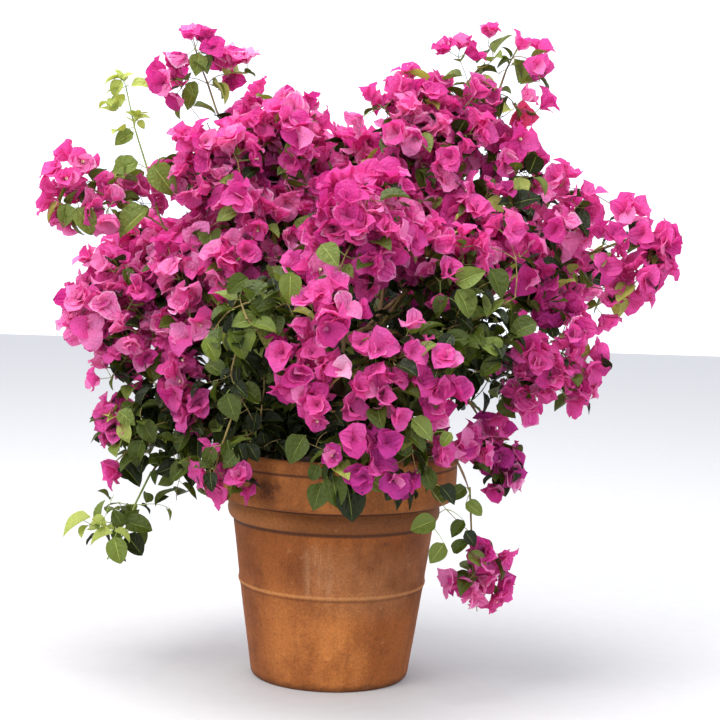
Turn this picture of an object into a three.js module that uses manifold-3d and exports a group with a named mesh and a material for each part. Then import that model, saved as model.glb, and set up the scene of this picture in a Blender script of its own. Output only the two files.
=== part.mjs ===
// A bougainvillea bush in bloom in its terracotta pot.
// Millimetres, +Z up. The origin is the middle of the pot's flat underside, and -Y is the front.
import * as THREE from "three";
import { mergeVertices } from "three/addons/utils/BufferGeometryUtils.js";
import Module from "manifold-3d";

const wasm = await Module();
wasm.setup();

// Gap between two pieces that touch
const seam = 0.3;
// A cut's room round the trunk's flat sides, as a share of that gap
const seamRoom = 1.3;

// Pot: a tapering body with a raised ridge, a roll under an overhanging collar, and a lip
const pot = {
  sides: 40,
  height: 348,
  footRadius: 120,
  footRound: 5,
  footChamfer: 2,
  ridgeHeight: 146,
  ridgeRadius: 139.5,
  ridgeProud: 3.5,
  ridgeWidth: 9,
  ridgeRiseShare: 0.3,
  ridgeFallShare: 0.6,
  waist: 1,
  bodyTop: 239,
  bodyTopRadius: 152,
  rollTop: 271,
  rollRadius: 161,
  rollSteps: 5,
  collarBottom: 275,
  collarRadius: 184,
  lipBottom: 328,
  lipRadius: 187,
  lipInnerRadius: 163,
  groove: 2.5,
  edgeRound: 4,
  floor: 18,
  innerFootRadius: 103,
  shoulderHeight: 262,
  shoulderRadius: 138,
  collarInnerBottom: 290,
};
const soilLevel = 318;
const soilGap = 0.4;

// Trunk: a short leaning stem that flares at the soil
const trunk = {
  sides: 10,
  steps: 9,
  height: 205,
  footRadius: 27,
  topRadius: 17,
  flare: 12,
  flareFade: 12,
  rootLobes: 5,
  lobeDepth: 0.16,
  leanX: 14,
  leanY: -8,
  uprightShare: 0.4,
  headShare: 0.3,
  headLean: 0.4,
  topRoundFrom: 0.95,
  topRoundShare: 0.72,
};

// Boughs: tapering limbs from the trunk to each mass
const bough = {
  sides: 5,
  stepLength: 52,
  baseRadius: 7.5,
  tipRadius: 3.6,
  taperPower: 0.8,
  sampleLength: 5,
  leastSteps: 4,
  reachShare: 0.38,
  insideTrunk: 2,
  potGap: 2,
};
const startShares = [0.5, 0.6, 0.7, 0.8, 0.9, 0.42, 0.96, 0.34, 0.26];
const startSwings = [0, 20, -20, 40, -40, 60, -60, 85, -85];
const startLifts = [62, 48, 76, 35];

// Twigs, leaves and bracts, all a good deal larger than life
const stem = { radius: 3.2, shares: [-0.95, -0.4, 0.15, 0.72], straight: 2, wander: 0.1 };
const twig = { sides: 3, baseRadius: 2.8, tipRadius: 2, sampleLength: 5 };
const leaf = {
  length: 98,
  shareOfReach: 0.9,
  widthShare: 0.56,
  thickShare: 0.055,
  widestAt: 0.45,
  sunk: 0.8,
  onward: 0.5,
  sideways: 0.85,
  droop: 0.25,
  faceOutward: 0.8,
};
const bloomLeaves = [0.55];
const greenLeaves = [0.55, 0.92];
const leafTurn = 2.4;
const plateShares = [1, 0.85, 0.7, 0.55];
const goldenShare = 0.618034;
const bloom = {
  length: 86,
  shareOfReach: 0.85,
  spread: 64,
  valleyRadius: 0.5,
  valleyHeight: 0.14,
  crownHeight: 0.18,
  sunk: 3,
  bracts: 3,
  onward: 0.4,
  outward: 0.8,
};
const tipShare = 0.78;
const plateShare = 1.14;
const candidateCount = 6;
const wallGap = 0.8;
const limbGap = 2;
const plateGap = 1.2;
const potGap = 3;
const groundGap = 60;
const nearMass = 260;

// Each mass: its name, middle, half sizes, twigs, share of twigs that end in bracts, and the
// steepness in degrees at which its stem comes in
const massSizes = [
  ["upper_middle", [-70, 45, 776], [104, 125, 108], 11, 0.9, 80],
  ["upper_left", [-168, -15, 752], [122, 120, 116], 10, 0.9, 60],
  ["upper_right", [112, 15, 806], [102, 120, 124], 10, 0.9, 75],
  ["front_upper", [27, -175, 675], [112, 110, 112], 10, 0.85, 35],
  ["right_upper", [246, -15, 756], [94, 105, 106], 9, 0.8, 55],
  ["top_right", [236, 20, 912], [96, 68, 72], 6, 0.8, 70],
  ["top_left", [-218, 30, 912], [88, 62, 66], 5, 0.75, 70],
  ["shoot_left", [-305, 0, 800], [60, 48, 124], 5, 0, 75],
  ["left_upper", [-368, -20, 722], [96, 66, 74], 6, 0.8, 25],
  ["left_middle", [-300, -50, 546], [128, 110, 116], 11, 0.9, 15],
  ["left_low", [-268, -60, 375], [112, 85, 92], 7, 0.4, -40],
  ["left_trailing", [-310, -40, 228], [122, 60, 76], 6, 0, -65],
  ["front_left", [-98, -210, 540], [96, 98, 104], 7, 0.45, 15],
  ["front_right", [88, -225, 490], [102, 100, 86], 9, 0.75, -5],
  ["front_low", [64, -252, 368], [100, 62, 76], 6, 0.5, -62],
  ["front_low_left", [-165, -190, 348], [66, 58, 64], 3, 0.9, -65],
  ["right_middle", [300, 10, 612], [86, 90, 76], 6, 0.75, 30],
  ["right_end", [410, -10, 666], [102, 84, 92], 8, 0.85, 20],
  ["right_hanging", [322, -40, 493], [94, 85, 92], 8, 0.85, -20],
  ["right_low", [240, -50, 352], [60, 56, 58], 3, 0.85, -62],
  ["right_trailing", [204, -142, 206], [88, 62, 104], 5, 0.6, -85],
  ["front_side", [200, -135, 560], [86, 92, 94], 6, 0.3, 25],
  ["heart_left", [-152, -60, 604], [106, 104, 100], 11, 0.75, 50],
  ["heart_right", [142, -45, 650], [98, 100, 98], 14, 0.75, 50],
  ["back_upper", [-20, 225, 780], [180, 125, 130], 11, 0.85, 60],
  ["back_left", [-295, 165, 600], [140, 120, 134], 10, 0.8, 30],
  ["back_right", [315, 175, 640], [134, 120, 134], 10, 0.8, 35],
  ["back_middle", [10, 290, 560], [155, 100, 114], 10, 0.75, 20],
  ["back_low", [-10, 290, 395], [190, 92, 84], 8, 0.45, -40],
];
// Masses whose stems start on the trunk itself, and how far up it
const onTrunk = { heart_left: 0.7, heart_right: 0.6 };

// Finishes
const colours = {
  terracotta: new THREE.MeshStandardMaterial({ color: 0xb0653a, roughness: 0.85, metalness: 0 }),
  soil: new THREE.MeshStandardMaterial({ color: 0x3a2b20, roughness: 0.95, metalness: 0 }),
  bark: new THREE.MeshStandardMaterial({ color: 0x7a6248, roughness: 0.9, metalness: 0 }),
  blossom: new THREE.MeshStandardMaterial({ color: 0xd23a96, roughness: 0.7, metalness: 0 }),
  leaves: new THREE.MeshStandardMaterial({ color: 0x4f7a34, roughness: 0.6, metalness: 0 }),
};
const blossomShare = 0.6;

const up = new THREE.Vector3(0, 0, 1);
const radians = THREE.MathUtils.degToRad;

// The same numbers between 0 and 1 every time for one seed
const chance = { factor: 48271, modulus: 2147483647, seedStep: 7919, seedStart: 17, looksSeed: 500 };

function drawsFrom(seed) {
  let state = seed * chance.seedStep + chance.seedStart;
  const draw = () => {
    state = (state * chance.factor) % chance.modulus;
    return state / chance.modulus;
  };
  draw();
  draw();
  return draw;
}

// A geometry with shared corners and no empty triangles
const cornerTolerance = 1e-4;

function closedGeometry(geometry) {
  geometry.deleteAttribute("normal");
  geometry.deleteAttribute("uv");
  const merged = mergeVertices(geometry, cornerTolerance);
  const corners = merged.index.array;
  const kept = [];
  for (let i = 0; i < corners.length; i += 3) {
    const [a, b, c] = [corners[i], corners[i + 1], corners[i + 2]];
    if (a !== b && b !== c && c !== a) {
      kept.push(a, b, c);
    }
  }
  merged.setIndex(kept);
  return merged;
}

function solidOf(geometry) {
  const closed = closedGeometry(geometry);
  return new wasm.Manifold(new wasm.Mesh({
    numProp: 3,
    vertProperties: new Float32Array(closed.attributes.position.array),
    triVerts: new Uint32Array(closed.index.array),
  }));
}

// The largest single body of a solid, without loose scraps and sealed hollows
function largestBody(solid) {
  const bodies = solid.decompose();
  return bodies.reduce((best, body) => (body.volume() > best.volume() ? body : best));
}

function geometryOf(solid) {
  const mesh = solid.getMesh();
  const geometry = new THREE.BufferGeometry();
  geometry.setAttribute("position", new THREE.BufferAttribute(mesh.vertProperties, 3));
  geometry.setIndex(new THREE.BufferAttribute(mesh.triVerts, 1));
  geometry.computeVertexNormals();
  return geometry;
}

// A limb along a curve: rings of corners, with a flat cut at each end
function limbGeometry(curve, steps, sides, radiusAt) {
  const frames = curve.computeFrenetFrames(steps, false);
  const positions = [];
  for (let step = 0; step <= steps; step += 1) {
    const share = step / steps;
    const middle = curve.getPointAt(share);
    for (let side = 0; side < sides; side += 1) {
      const angle = (2 * Math.PI * side) / sides;
      const radius = radiusAt(share, angle);
      const corner = middle.clone();
      corner.addScaledVector(frames.normals[step], radius * Math.cos(angle));
      corner.addScaledVector(frames.binormals[step], radius * Math.sin(angle));
      positions.push(corner.x, corner.y, corner.z);
    }
  }
  const corners = [];
  for (let step = 0; step < steps; step += 1) {
    for (let side = 0; side < sides; side += 1) {
      const a = step * sides + side;
      const b = step * sides + ((side + 1) % sides);
      corners.push(a, b, b + sides, a, b + sides, a + sides);
    }
  }
  const last = steps * sides;
  for (let side = 1; side < sides - 1; side += 1) {
    corners.push(0, side + 1, side);
    corners.push(last, last + side, last + side + 1);
  }
  const geometry = new THREE.BufferGeometry();
  geometry.setAttribute("position", new THREE.Float32BufferAttribute(positions, 3));
  geometry.setIndex(corners);
  return geometry;
}

// A turned piece from its half profile of [radius, height] pairs
function turnedGeometry(profile, sides) {
  const points = profile.map(([radius, height]) => new THREE.Vector2(radius, height));
  return closedGeometry(new THREE.LatheGeometry(points, sides).rotateX(Math.PI / 2));
}

function potProfile() {
  const profile = [
    [0, 0],
    [pot.footRadius - pot.footRound, 0],
    [pot.footRadius - pot.footChamfer / 2, pot.footChamfer],
    [pot.footRadius, pot.footRound],
  ];
  const ridgeBottom = pot.ridgeHeight - pot.ridgeWidth / 2;
  const ridgeTop = pot.ridgeHeight + pot.ridgeWidth / 2;
  profile.push([pot.ridgeRadius, ridgeBottom]);
  profile.push([pot.ridgeRadius + pot.ridgeProud, ridgeBottom + pot.ridgeWidth * pot.ridgeRiseShare]);
  profile.push([pot.ridgeRadius + pot.ridgeProud, ridgeBottom + pot.ridgeWidth * pot.ridgeFallShare]);
  profile.push([pot.ridgeRadius + pot.waist, ridgeTop]);
  profile.push([pot.bodyTopRadius, pot.bodyTop - pot.groove]);
  profile.push([pot.bodyTopRadius - pot.groove / 2, pot.bodyTop]);
  for (let step = 1; step < pot.rollSteps; step += 1) {
    const turn = (Math.PI * step) / pot.rollSteps;
    const height = pot.bodyTop + ((pot.rollTop - pot.bodyTop) * (1 - Math.cos(turn))) / 2;
    profile.push([pot.bodyTopRadius + (pot.rollRadius - pot.bodyTopRadius) * Math.sin(turn), height]);
  }
  profile.push([pot.bodyTopRadius + pot.groove, pot.rollTop]);
  profile.push([pot.collarRadius - pot.edgeRound, pot.collarBottom]);
  profile.push([pot.collarRadius, pot.collarBottom + pot.edgeRound]);
  profile.push([pot.collarRadius + pot.waist, pot.lipBottom - pot.groove]);
  profile.push([pot.collarRadius - pot.groove / 2, pot.lipBottom]);
  profile.push([pot.lipRadius, pot.lipBottom + pot.groove]);
  profile.push([pot.lipRadius, pot.height - pot.edgeRound]);
  profile.push([pot.lipRadius - pot.edgeRound, pot.height]);
  profile.push([pot.lipInnerRadius + pot.edgeRound, pot.height]);
  profile.push([pot.lipInnerRadius, pot.height - pot.edgeRound]);
  profile.push([pot.lipInnerRadius, pot.collarInnerBottom]);
  profile.push([pot.shoulderRadius, pot.shoulderHeight]);
  profile.push([pot.innerFootRadius, pot.floor]);
  profile.push([0, pot.floor]);
  return profile;
}

function soilProfile() {
  return [
    [0, pot.floor + soilGap],
    [pot.innerFootRadius - soilGap, pot.floor + soilGap],
    [pot.shoulderRadius - soilGap, pot.shoulderHeight + soilGap],
    [pot.lipInnerRadius - soilGap, pot.collarInnerBottom + soilGap],
    [pot.lipInnerRadius - soilGap, soilLevel],
    [0, soilLevel],
  ];
}

// The trunk's line: upright at the soil, then leaning
function trunkCurve() {
  const foot = new THREE.Vector3(0, 0, soilLevel + seam);
  const rise = foot.clone().addScaledVector(up, trunk.height * trunk.uprightShare);
  const head = new THREE.Vector3(trunk.leanX, trunk.leanY, foot.z + trunk.height);
  const below = head.clone().addScaledVector(up, -trunk.height * trunk.headShare);
  below.x -= trunk.leanX * trunk.headLean;
  below.y -= trunk.leanY * trunk.headLean;
  return new THREE.CubicBezierCurve3(foot, rise, below, head);
}

function trunkRadius(share, angle) {
  const taper = THREE.MathUtils.lerp(trunk.footRadius, trunk.topRadius, share);
  const fade = Math.exp(-share * trunk.flareFade);
  const lobes = 1 + trunk.lobeDepth * fade * Math.cos(angle * trunk.rootLobes);
  const rounding = share > trunk.topRoundFrom ? trunk.topRoundShare : 1;
  return (taper + trunk.flare * fade) * lobes * rounding;
}

function boughRadius(share) {
  return THREE.MathUtils.lerp(bough.baseRadius, bough.tipRadius, share ** bough.taperPower);
}

// A mass with its space, its stem's direction and the place where that stem comes in
function massFrom([name, middle, reach, tips, bloom, climb], index) {
  const centre = new THREE.Vector3(...middle);
  const half = new THREE.Vector3(...reach);
  const flat = new THREE.Vector3(centre.x, centre.y, 0).normalize();
  const along = flat.multiplyScalar(Math.cos(radians(climb)));
  along.z = Math.sin(radians(climb));
  const depth = 1 / along.clone().divide(half).length();
  const outside = centre.clone().addScaledVector(along, stem.shares[0] * depth);
  const entry = name in onTrunk ? trunkCurve().getPointAt(onTrunk[name]) : outside;
  return { name, centre, half, tips, bloom, along, depth, entry, seed: index + 1, walls: [] };
}

// How far a mass reaches from its middle towards a direction's end plane
function support(mass, direction) {
  return direction.clone().multiply(mass.half).length();
}

// Flat walls halfway, by reach, between a mass and each other mass keep the two apart
function addWalls(masses) {
  for (const mass of masses) {
    for (const other of masses) {
      if (other === mass) {
        continue;
      }
      const normal = other.centre.clone().sub(mass.centre);
      const distance = normal.length();
      normal.divideScalar(distance);
      const share = support(mass, normal) / (support(mass, normal) + support(other, normal));
      const offset = normal.dot(mass.centre) + distance * share - wallGap;
      mass.walls.push({ normal, offset });
    }
  }
}

// Whether a point is clear of the pot, the soil and the ground
function clearOfPot(point, gap) {
  const radius = Math.hypot(point.x, point.y);
  if (point.z > pot.height + gap) {
    return true;
  }
  if (radius < pot.lipInnerRadius - gap) {
    return point.z > soilLevel + gap;
  }
  const outside = point.z > pot.collarBottom - gap ? pot.lipRadius : pot.rollRadius;
  return radius > outside + gap && point.z > groundGap;
}

function inSpace(mass, point, scale) {
  const local = point.clone().sub(mass.centre).divide(mass.half);
  if (local.lengthSq() > scale * scale || !clearOfPot(point, potGap)) {
    return false;
  }
  return mass.walls.every((wall) => wall.normal.dot(point) < wall.offset);
}

// The length of a leaf or bract in a mass, less in a small one
function lengthIn(mass, form) {
  return Math.min(form.length, form.shareOfReach * Math.min(...mass.half.toArray()));
}

// The seeded rule: each new tip is the one of a few drawn places that lies furthest from all the
// tips so far, and its twig starts at the nearest place already grown
function growTwigs(mass) {
  const draw = drawsFrom(mass.seed);
  const places = stem.shares.map((share, index) => {
    const onLine = mass.centre.clone().addScaledVector(mass.along, share * mass.depth);
    const place = index === 0 ? mass.entry.clone() : onLine;
    const bend = index < stem.straight ? 0 : stem.wander * mass.depth;
    place.x += (draw() - 0.5) * bend;
    place.y += (draw() - 0.5) * bend;
    place.z += (draw() - 0.5) * bend;
    return place;
  });
  const twigs = [];
  const tips = [places[places.length - 1]];
  for (let count = 0; count < mass.tips; count += 1) {
    let best = null;
    let bestGap = 0;
    for (let candidate = 0; candidate < candidateCount; candidate += 1) {
      const turn = 2 * Math.PI * draw();
      const height = 2 * draw() - 1;
      const radius = Math.cbrt(draw()) * tipShare;
      const ring = Math.sqrt(1 - height * height) * radius;
      const place = new THREE.Vector3(ring * Math.cos(turn), ring * Math.sin(turn), height * radius);
      place.multiply(mass.half).add(mass.centre);
      const gap = Math.min(...tips.map((tip) => tip.distanceTo(place)));
      if (gap > bestGap && inSpace(mass, place, 1)) {
        best = place;
        bestGap = gap;
      }
    }
    if (!best) {
      continue;
    }
    let from = 1;
    for (let index = 2; index < places.length; index += 1) {
      if (places[index].distanceTo(best) < places[from].distanceTo(best)) {
        from = index;
      }
    }
    const middle = places[from].clone().lerp(best, 0.5);
    twigs.push({ from, middle: places.length, tip: places.length + 1, count });
    places.push(middle, best);
    tips.push(best);
  }
  return { places, twigs };
}

// A leaf: root, sides and tip round a thin crown and keel, eight faces
function leafCorners(root, along, face, length) {
  const across = along.clone().cross(face).normalize();
  const normal = across.clone().cross(along).normalize();
  const widest = root.clone().addScaledVector(along, length * leaf.widestAt);
  const rim = [
    root.clone().addScaledVector(along, -leaf.sunk),
    widest.clone().addScaledVector(across, (length * leaf.widthShare) / 2),
    root.clone().addScaledVector(along, length),
    widest.clone().addScaledVector(across, (-length * leaf.widthShare) / 2),
  ];
  const crown = widest.clone().addScaledVector(normal, (length * leaf.thickShare) / 2);
  const keel = widest.clone().addScaledVector(normal, (-length * leaf.thickShare) / 2);
  return { rim, crown, keel };
}

// Three bracts in one open cup: their tips and the valleys between them round a crown and a keel
function bloomCorners(root, axis, turn, length) {
  const side = axis.clone().cross(up).normalize();
  const rim = [];
  for (let index = 0; index < 2 * bloom.bracts; index += 1) {
    const isTip = index % 2 === 0;
    const angle = turn + (Math.PI * index) / bloom.bracts;
    const radius = isTip ? length * Math.sin(radians(bloom.spread)) : length * bloom.valleyRadius;
    const height = isTip ? length * Math.cos(radians(bloom.spread)) : length * bloom.valleyHeight;
    const corner = root.clone().addScaledVector(axis, height);
    rim.push(corner.addScaledVector(side.clone().applyAxisAngle(axis, angle), radius));
  }
  const crown = root.clone().addScaledVector(axis, length * bloom.crownHeight);
  const keel = root.clone().addScaledVector(axis, -bloom.sunk);
  return { rim, crown, keel };
}

// A thin solid from its rim, counted left about the line from keel to crown
function plateSolid({ rim, crown, keel }) {
  const triangles = [];
  for (let side = 0; side < rim.length; side += 1) {
    const next = (side + 1) % rim.length;
    triangles.push(side, next, rim.length);
    triangles.push(next, side, rim.length + 1);
  }
  const corners = [...rim, crown, keel];
  return new wasm.Manifold(new wasm.Mesh({
    numProp: 3,
    vertProperties: new Float32Array(corners.flatMap((corner) => corner.toArray())),
    triVerts: new Uint32Array(triangles),
  }));
}

// The sheet halfway through a plate, as triangles, with places spread over it
function sheetOf({ rim, crown, keel }) {
  const middle = crown.clone().lerp(keel, 0.5);
  const triangles = rim.map((corner, index) => (
    new THREE.Triangle(corner, rim[(index + 1) % rim.length], middle)
  ));
  const places = rim.flatMap((corner, index) => [
    corner,
    corner.clone().lerp(rim[(index + 1) % rim.length], 0.5),
    corner.clone().lerp(middle, 0.5),
  ]);
  return { triangles, places: [middle, ...places], thick: crown.distanceTo(keel) / 2 };
}

function gapToSheet(place, sheet) {
  const nearest = new THREE.Vector3();
  const gaps = sheet.triangles.map((triangle) => {
    triangle.closestPointToPoint(place, nearest);
    return nearest.distanceTo(place);
  });
  return Math.min(...gaps);
}

// Places along a curve, close together, with the limb's radius at each
function samplesOf(curve, length, radiusAt) {
  const count = Math.ceil(curve.getLength() / length);
  const samples = [];
  for (let index = 0; index <= count; index += 1) {
    const share = index / count;
    samples.push({ at: curve.getPointAt(share), radius: radiusAt(share) });
  }
  return samples;
}

function samplesMeet(first, second, gap) {
  return first.some((a) => second.some((b) => a.at.distanceTo(b.at) < a.radius + b.radius + gap));
}

// Whether a straight line from start to end goes through a sheet
function linePierces(start, end, sheet) {
  const heading = end.clone().sub(start);
  const length = heading.length();
  const ray = new THREE.Ray(start, heading.normalize());
  const hit = new THREE.Vector3();
  return sheet.triangles.some(({ a, b, c }) => (
    ray.intersectTriangle(a, b, c, false, hit) !== null && hit.distanceTo(start) < length
  ));
}

function sheetsCross(first, second) {
  const cuts = (one, other) => one.triangles.some(({ a, b, c }) => (
    linePierces(a, b, other) || linePierces(b, c, other) || linePierces(c, a, other)
  ));
  return cuts(first, second) || cuts(second, first);
}

// The bough that reaches a mass: the first of a few starts on the trunk whose line is clear
function routeBough(mass, trunkLine, limbs) {
  const swingFrom = Math.atan2(mass.centre.y, mass.centre.x);
  for (const swing of startSwings) {
    for (const share of startShares) {
      for (const lift of startLifts) {
        const bearing = swingFrom + radians(swing);
        const start = trunkLine.getPointAt(share);
        const span = start.distanceTo(mass.entry) * bough.reachShare;
        const out = new THREE.Vector3(Math.cos(bearing), Math.sin(bearing), 0);
        out.multiplyScalar(Math.cos(radians(lift)));
        out.z = Math.sin(radians(lift));
        const first = start.clone().addScaledVector(out, span);
        const last = mass.entry.clone().addScaledVector(mass.along, -span);
        const end = mass.entry.clone().addScaledVector(mass.along, -seam);
        const curve = new THREE.CubicBezierCurve3(start, first, last, end);
        const all = samplesOf(curve, bough.sampleLength, boughRadius);
        const within = trunkRadius(share, 0) - bough.insideTrunk;
        const samples = all.filter((sample) => sample.at.distanceTo(start) > within);
        const clear = samples.every((sample) => clearOfPot(sample.at, sample.radius + bough.potGap));
        if (clear && !limbs.some((limb) => samplesMeet(samples, limb.samples, limbGap))) {
          return { mass, curve, samples };
        }
      }
    }
  }
  throw new Error(`no clear way for the bough to ${mass.name}`);
}

// A mass's solid: stem, twigs, and on each twig leaves and either bracts or more leaves
function massSolid(mass, limbs) {
  const { places, twigs } = growTwigs(mass);
  const near = (sample) => sample.at.distanceTo(mass.centre) < nearMass;
  const allSamples = limbs.flatMap((limb) => limb.samples.filter(near));
  const draw = drawsFrom(mass.seed + chance.looksSeed);
  const solids = [];
  const stemCurve = new THREE.CatmullRomCurve3(places.slice(0, stem.shares.length));
  const stemRadius = (share) => THREE.MathUtils.lerp(stem.radius, twig.tipRadius, share);
  solids.push(solidOf(limbGeometry(stemCurve, stem.shares.length - 1, twig.sides, stemRadius)));
  const grown = new Set(stem.shares.keys());

  const lines = [];
  const sheets = [];
  const fits = (line, sheet) => {
    const inside = sheet.places.every((place) => inSpace(mass, place, plateShare));
    const clear = allSamples.every((sample) => (
      gapToSheet(sample.at, sheet) > sample.radius + sheet.thick + plateGap
    ));
    const pierced = lines.some((other) => other !== line && linePierces(other.start, other.end, sheet));
    return inside && clear && !pierced && !sheets.some((other) => sheetsCross(sheet, other));
  };
  const addPlate = (line, cornersAt) => {
    for (const share of plateShares) {
      const corners = cornersAt(share);
      const sheet = sheetOf(corners);
      if (fits(line, sheet)) {
        sheets.push(sheet);
        solids.push(plateSolid(corners));
        return;
      }
    }
  };
  const addLeaf = (line, share, turn) => {
    const root = line.start.clone().lerp(line.end, share);
    const side = line.heading.clone().cross(up).normalize();
    side.applyAxisAngle(line.heading, turn);
    const along = line.heading.clone().multiplyScalar(leaf.onward).addScaledVector(side, leaf.sideways);
    along.z -= leaf.droop;
    const outward = root.clone().sub(mass.centre).normalize();
    const face = up.clone().addScaledVector(outward, leaf.faceOutward);
    along.normalize();
    addPlate(line, (size) => leafCorners(root, along, face, size * lengthIn(mass, leaf)));
  };
  const addBloom = (line, turn) => {
    const outward = line.end.clone().sub(new THREE.Vector3(0, 0, soilLevel)).normalize();
    const axis = line.heading.clone().multiplyScalar(bloom.onward);
    axis.addScaledVector(outward, bloom.outward).normalize();
    addPlate(line, (size) => bloomCorners(line.end, axis, turn, size * lengthIn(mass, bloom)));
  };

  const lineOf = (start, end, blooms) => {
    const turns = [draw(), draw()].map((share) => 2 * Math.PI * share);
    return { start, end, heading: end.clone().sub(start).normalize(), turns, blooms };
  };
  const stemEnd = stem.shares.length - 1;
  lines.push(lineOf(places[stemEnd - 1], places[stemEnd], mass.bloom > 0));
  for (const { from, middle, tip, count } of twigs) {
    const [start, end] = [places[from], places[tip]];
    const line = lineOf(start, end, (count * goldenShare) % 1 < mass.bloom);
    const curve = new THREE.LineCurve3(start, end);
    const radius = (share) => THREE.MathUtils.lerp(twig.baseRadius, twig.tipRadius, share);
    const samples = samplesOf(curve, twig.sampleLength, radius);
    if (!grown.has(from) || samplesMeet(samples, allSamples, plateGap)) {
      continue;
    }
    grown.add(middle);
    grown.add(tip);
    solids.push(solidOf(limbGeometry(curve, 1, twig.sides, radius)));
    lines.push(line);
  }
  for (const line of lines.filter((each) => each.blooms)) {
    addBloom(line, line.turns[0]);
  }
  for (const line of lines) {
    const besideBloom = mass.bloom > blossomShare ? [] : bloomLeaves;
    const shares = line.blooms ? besideBloom : greenLeaves;
    shares.forEach((share, index) => addLeaf(line, share, line.turns[1] + index * leafTurn));
  }
  const joined = wasm.Manifold.union(solids);
  return largestBody(mass.name in onTrunk ? joined.subtract(trunkWithSeam) : joined);
}

const bush = new THREE.Group();

function addPart(name, geometry, material) {
  const mesh = new THREE.Mesh(geometry, material);
  mesh.name = name;
  bush.add(mesh);
}

addPart("pot", turnedGeometry(potProfile(), pot.sides), colours.terracotta);
addPart("soil", turnedGeometry(soilProfile(), pot.sides), colours.soil);

const trunkLine = trunkCurve();
addPart("trunk", limbGeometry(trunkLine, trunk.steps, trunk.sides, trunkRadius), colours.bark);

// The trunk with the seam's room round it and over it, which is cut out of each bough's root
const roomyRadius = (share, angle) => trunkRadius(share, angle) + seamRoom * seam;
const roomyTrunk = limbGeometry(trunkLine, trunk.steps, trunk.sides, roomyRadius);
const raisedTrunk = roomyTrunk.clone().translate(0, 0, seam);
const trunkWithSeam = solidOf(roomyTrunk).add(solidOf(raisedTrunk));

const masses = massSizes.map(massFrom);
addWalls(masses);

// Each mass's stem is in the way of the boughs to other masses
const stems = masses.map((mass) => {
  const line = new THREE.LineCurve3(mass.entry, mass.centre);
  return { mass, samples: samplesOf(line, bough.sampleLength, () => stem.radius) };
});
const limbs = [];
for (const mass of masses) {
  if (!(mass.name in onTrunk)) {
    const inTheWay = limbs.concat(stems.filter((other) => other.mass !== mass));
    limbs.push(routeBough(mass, trunkLine, inTheWay));
  }
}
for (const { mass, curve } of limbs) {
  const steps = Math.max(bough.leastSteps, Math.round(curve.getLength() / bough.stepLength));
  const whole = solidOf(limbGeometry(curve, steps, bough.sides, boughRadius));
  addPart(`bough_${mass.name}`, geometryOf(largestBody(whole.subtract(trunkWithSeam))), colours.bark);
}
const trunkSamples = samplesOf(trunkLine, bough.sampleLength, (share) => trunkRadius(share, 0));
const allLimbs = limbs.concat({ samples: trunkSamples });
for (const mass of masses) {
  const material = mass.bloom > blossomShare ? colours.blossom : colours.leaves;
  addPart(`foliage_${mass.name}`, geometryOf(massSolid(mass, allLimbs)), material);
}

export default bush;
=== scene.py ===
import math
from types import SimpleNamespace

import bpy
import numpy as np
from mathutils import Matrix, Quaternion, Vector, noise


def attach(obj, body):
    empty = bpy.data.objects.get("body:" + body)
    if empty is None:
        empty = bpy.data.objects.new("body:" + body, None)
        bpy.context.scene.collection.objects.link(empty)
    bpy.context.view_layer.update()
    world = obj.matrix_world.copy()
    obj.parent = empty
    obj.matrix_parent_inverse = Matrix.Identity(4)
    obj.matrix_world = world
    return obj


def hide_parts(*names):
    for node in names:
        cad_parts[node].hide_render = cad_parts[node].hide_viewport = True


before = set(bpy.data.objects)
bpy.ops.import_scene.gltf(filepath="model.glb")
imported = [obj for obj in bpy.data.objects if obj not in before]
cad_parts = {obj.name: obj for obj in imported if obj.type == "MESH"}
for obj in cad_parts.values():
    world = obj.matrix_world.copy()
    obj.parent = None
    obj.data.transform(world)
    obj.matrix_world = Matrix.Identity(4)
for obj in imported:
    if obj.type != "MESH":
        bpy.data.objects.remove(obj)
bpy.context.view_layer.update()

MM = 0.001
UP = Vector((0, 0, 1))
FULL_TURN = 2 * math.pi

# Pot and soil, the profile as radius and height
POT_SIDES = 128
POT_PROFILE = [
    (0, 0), (115, 0), (119, 2), (120, 5), (139.5, 141.5), (143, 144.2), (143, 146.9), (140.5, 150.5),
    (152, 236.5), (150.75, 239), (157.3, 242.1), (160.6, 250.1), (160.6, 259.9), (157.3, 267.9),
    (154.5, 271), (180, 275), (184, 279), (185, 325.5), (182.75, 328), (187, 330.5), (187, 344), (183, 348),
    (167, 348), (163, 344), (163, 290), (138, 262), (103, 18), (0, 18),
]
LIP_INNER_RADIUS = 163
POT_HEIGHT = 348
COLLAR_BOTTOM = 275
LIP_RADIUS = 187
ROLL_RADIUS = 161
PROFILE_STEP = 3.8
CORNER_WEAR = 0.22
WEAR_ROUNDS = 2
SOIL_LEVEL = 318
SOIL_RADIUS = 162
SOIL_RINGS = 26
SOIL_SIDES = 72

# Trunk line
TRUNK_HEIGHT = 205
TRUNK_LEAN = (14, -8)
TRUNK_UPRIGHT = 0.4
TRUNK_HEAD = 0.3
TRUNK_HEAD_LEAN = 0.4
SEAM = 0.3

# Growing rule, as in the part's source
SEED_STEP = 7919
SEED_START = 17
SEED_FACTOR = 48271
SEED_MODULUS = 2147483647
STEM_SHARES = (-0.95, -0.4, 0.15, 0.72)
STEM_STRAIGHT = 2
STEM_WANDER = 0.1
CANDIDATES = 6
WALL_GAP = 0.8
POT_GAP = 3
GROUND_GAP = 60
LEAF_SHARE = 1.3
GOLDEN = 0.618034
ON_TRUNK = {
    "heart_left": 0.7,
    "heart_right": 0.6,
    "low_left": 0.35,
    "low_right": 0.42,
    "low_middle": 0.3,
    "back_heart": 0.8,
}

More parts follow.
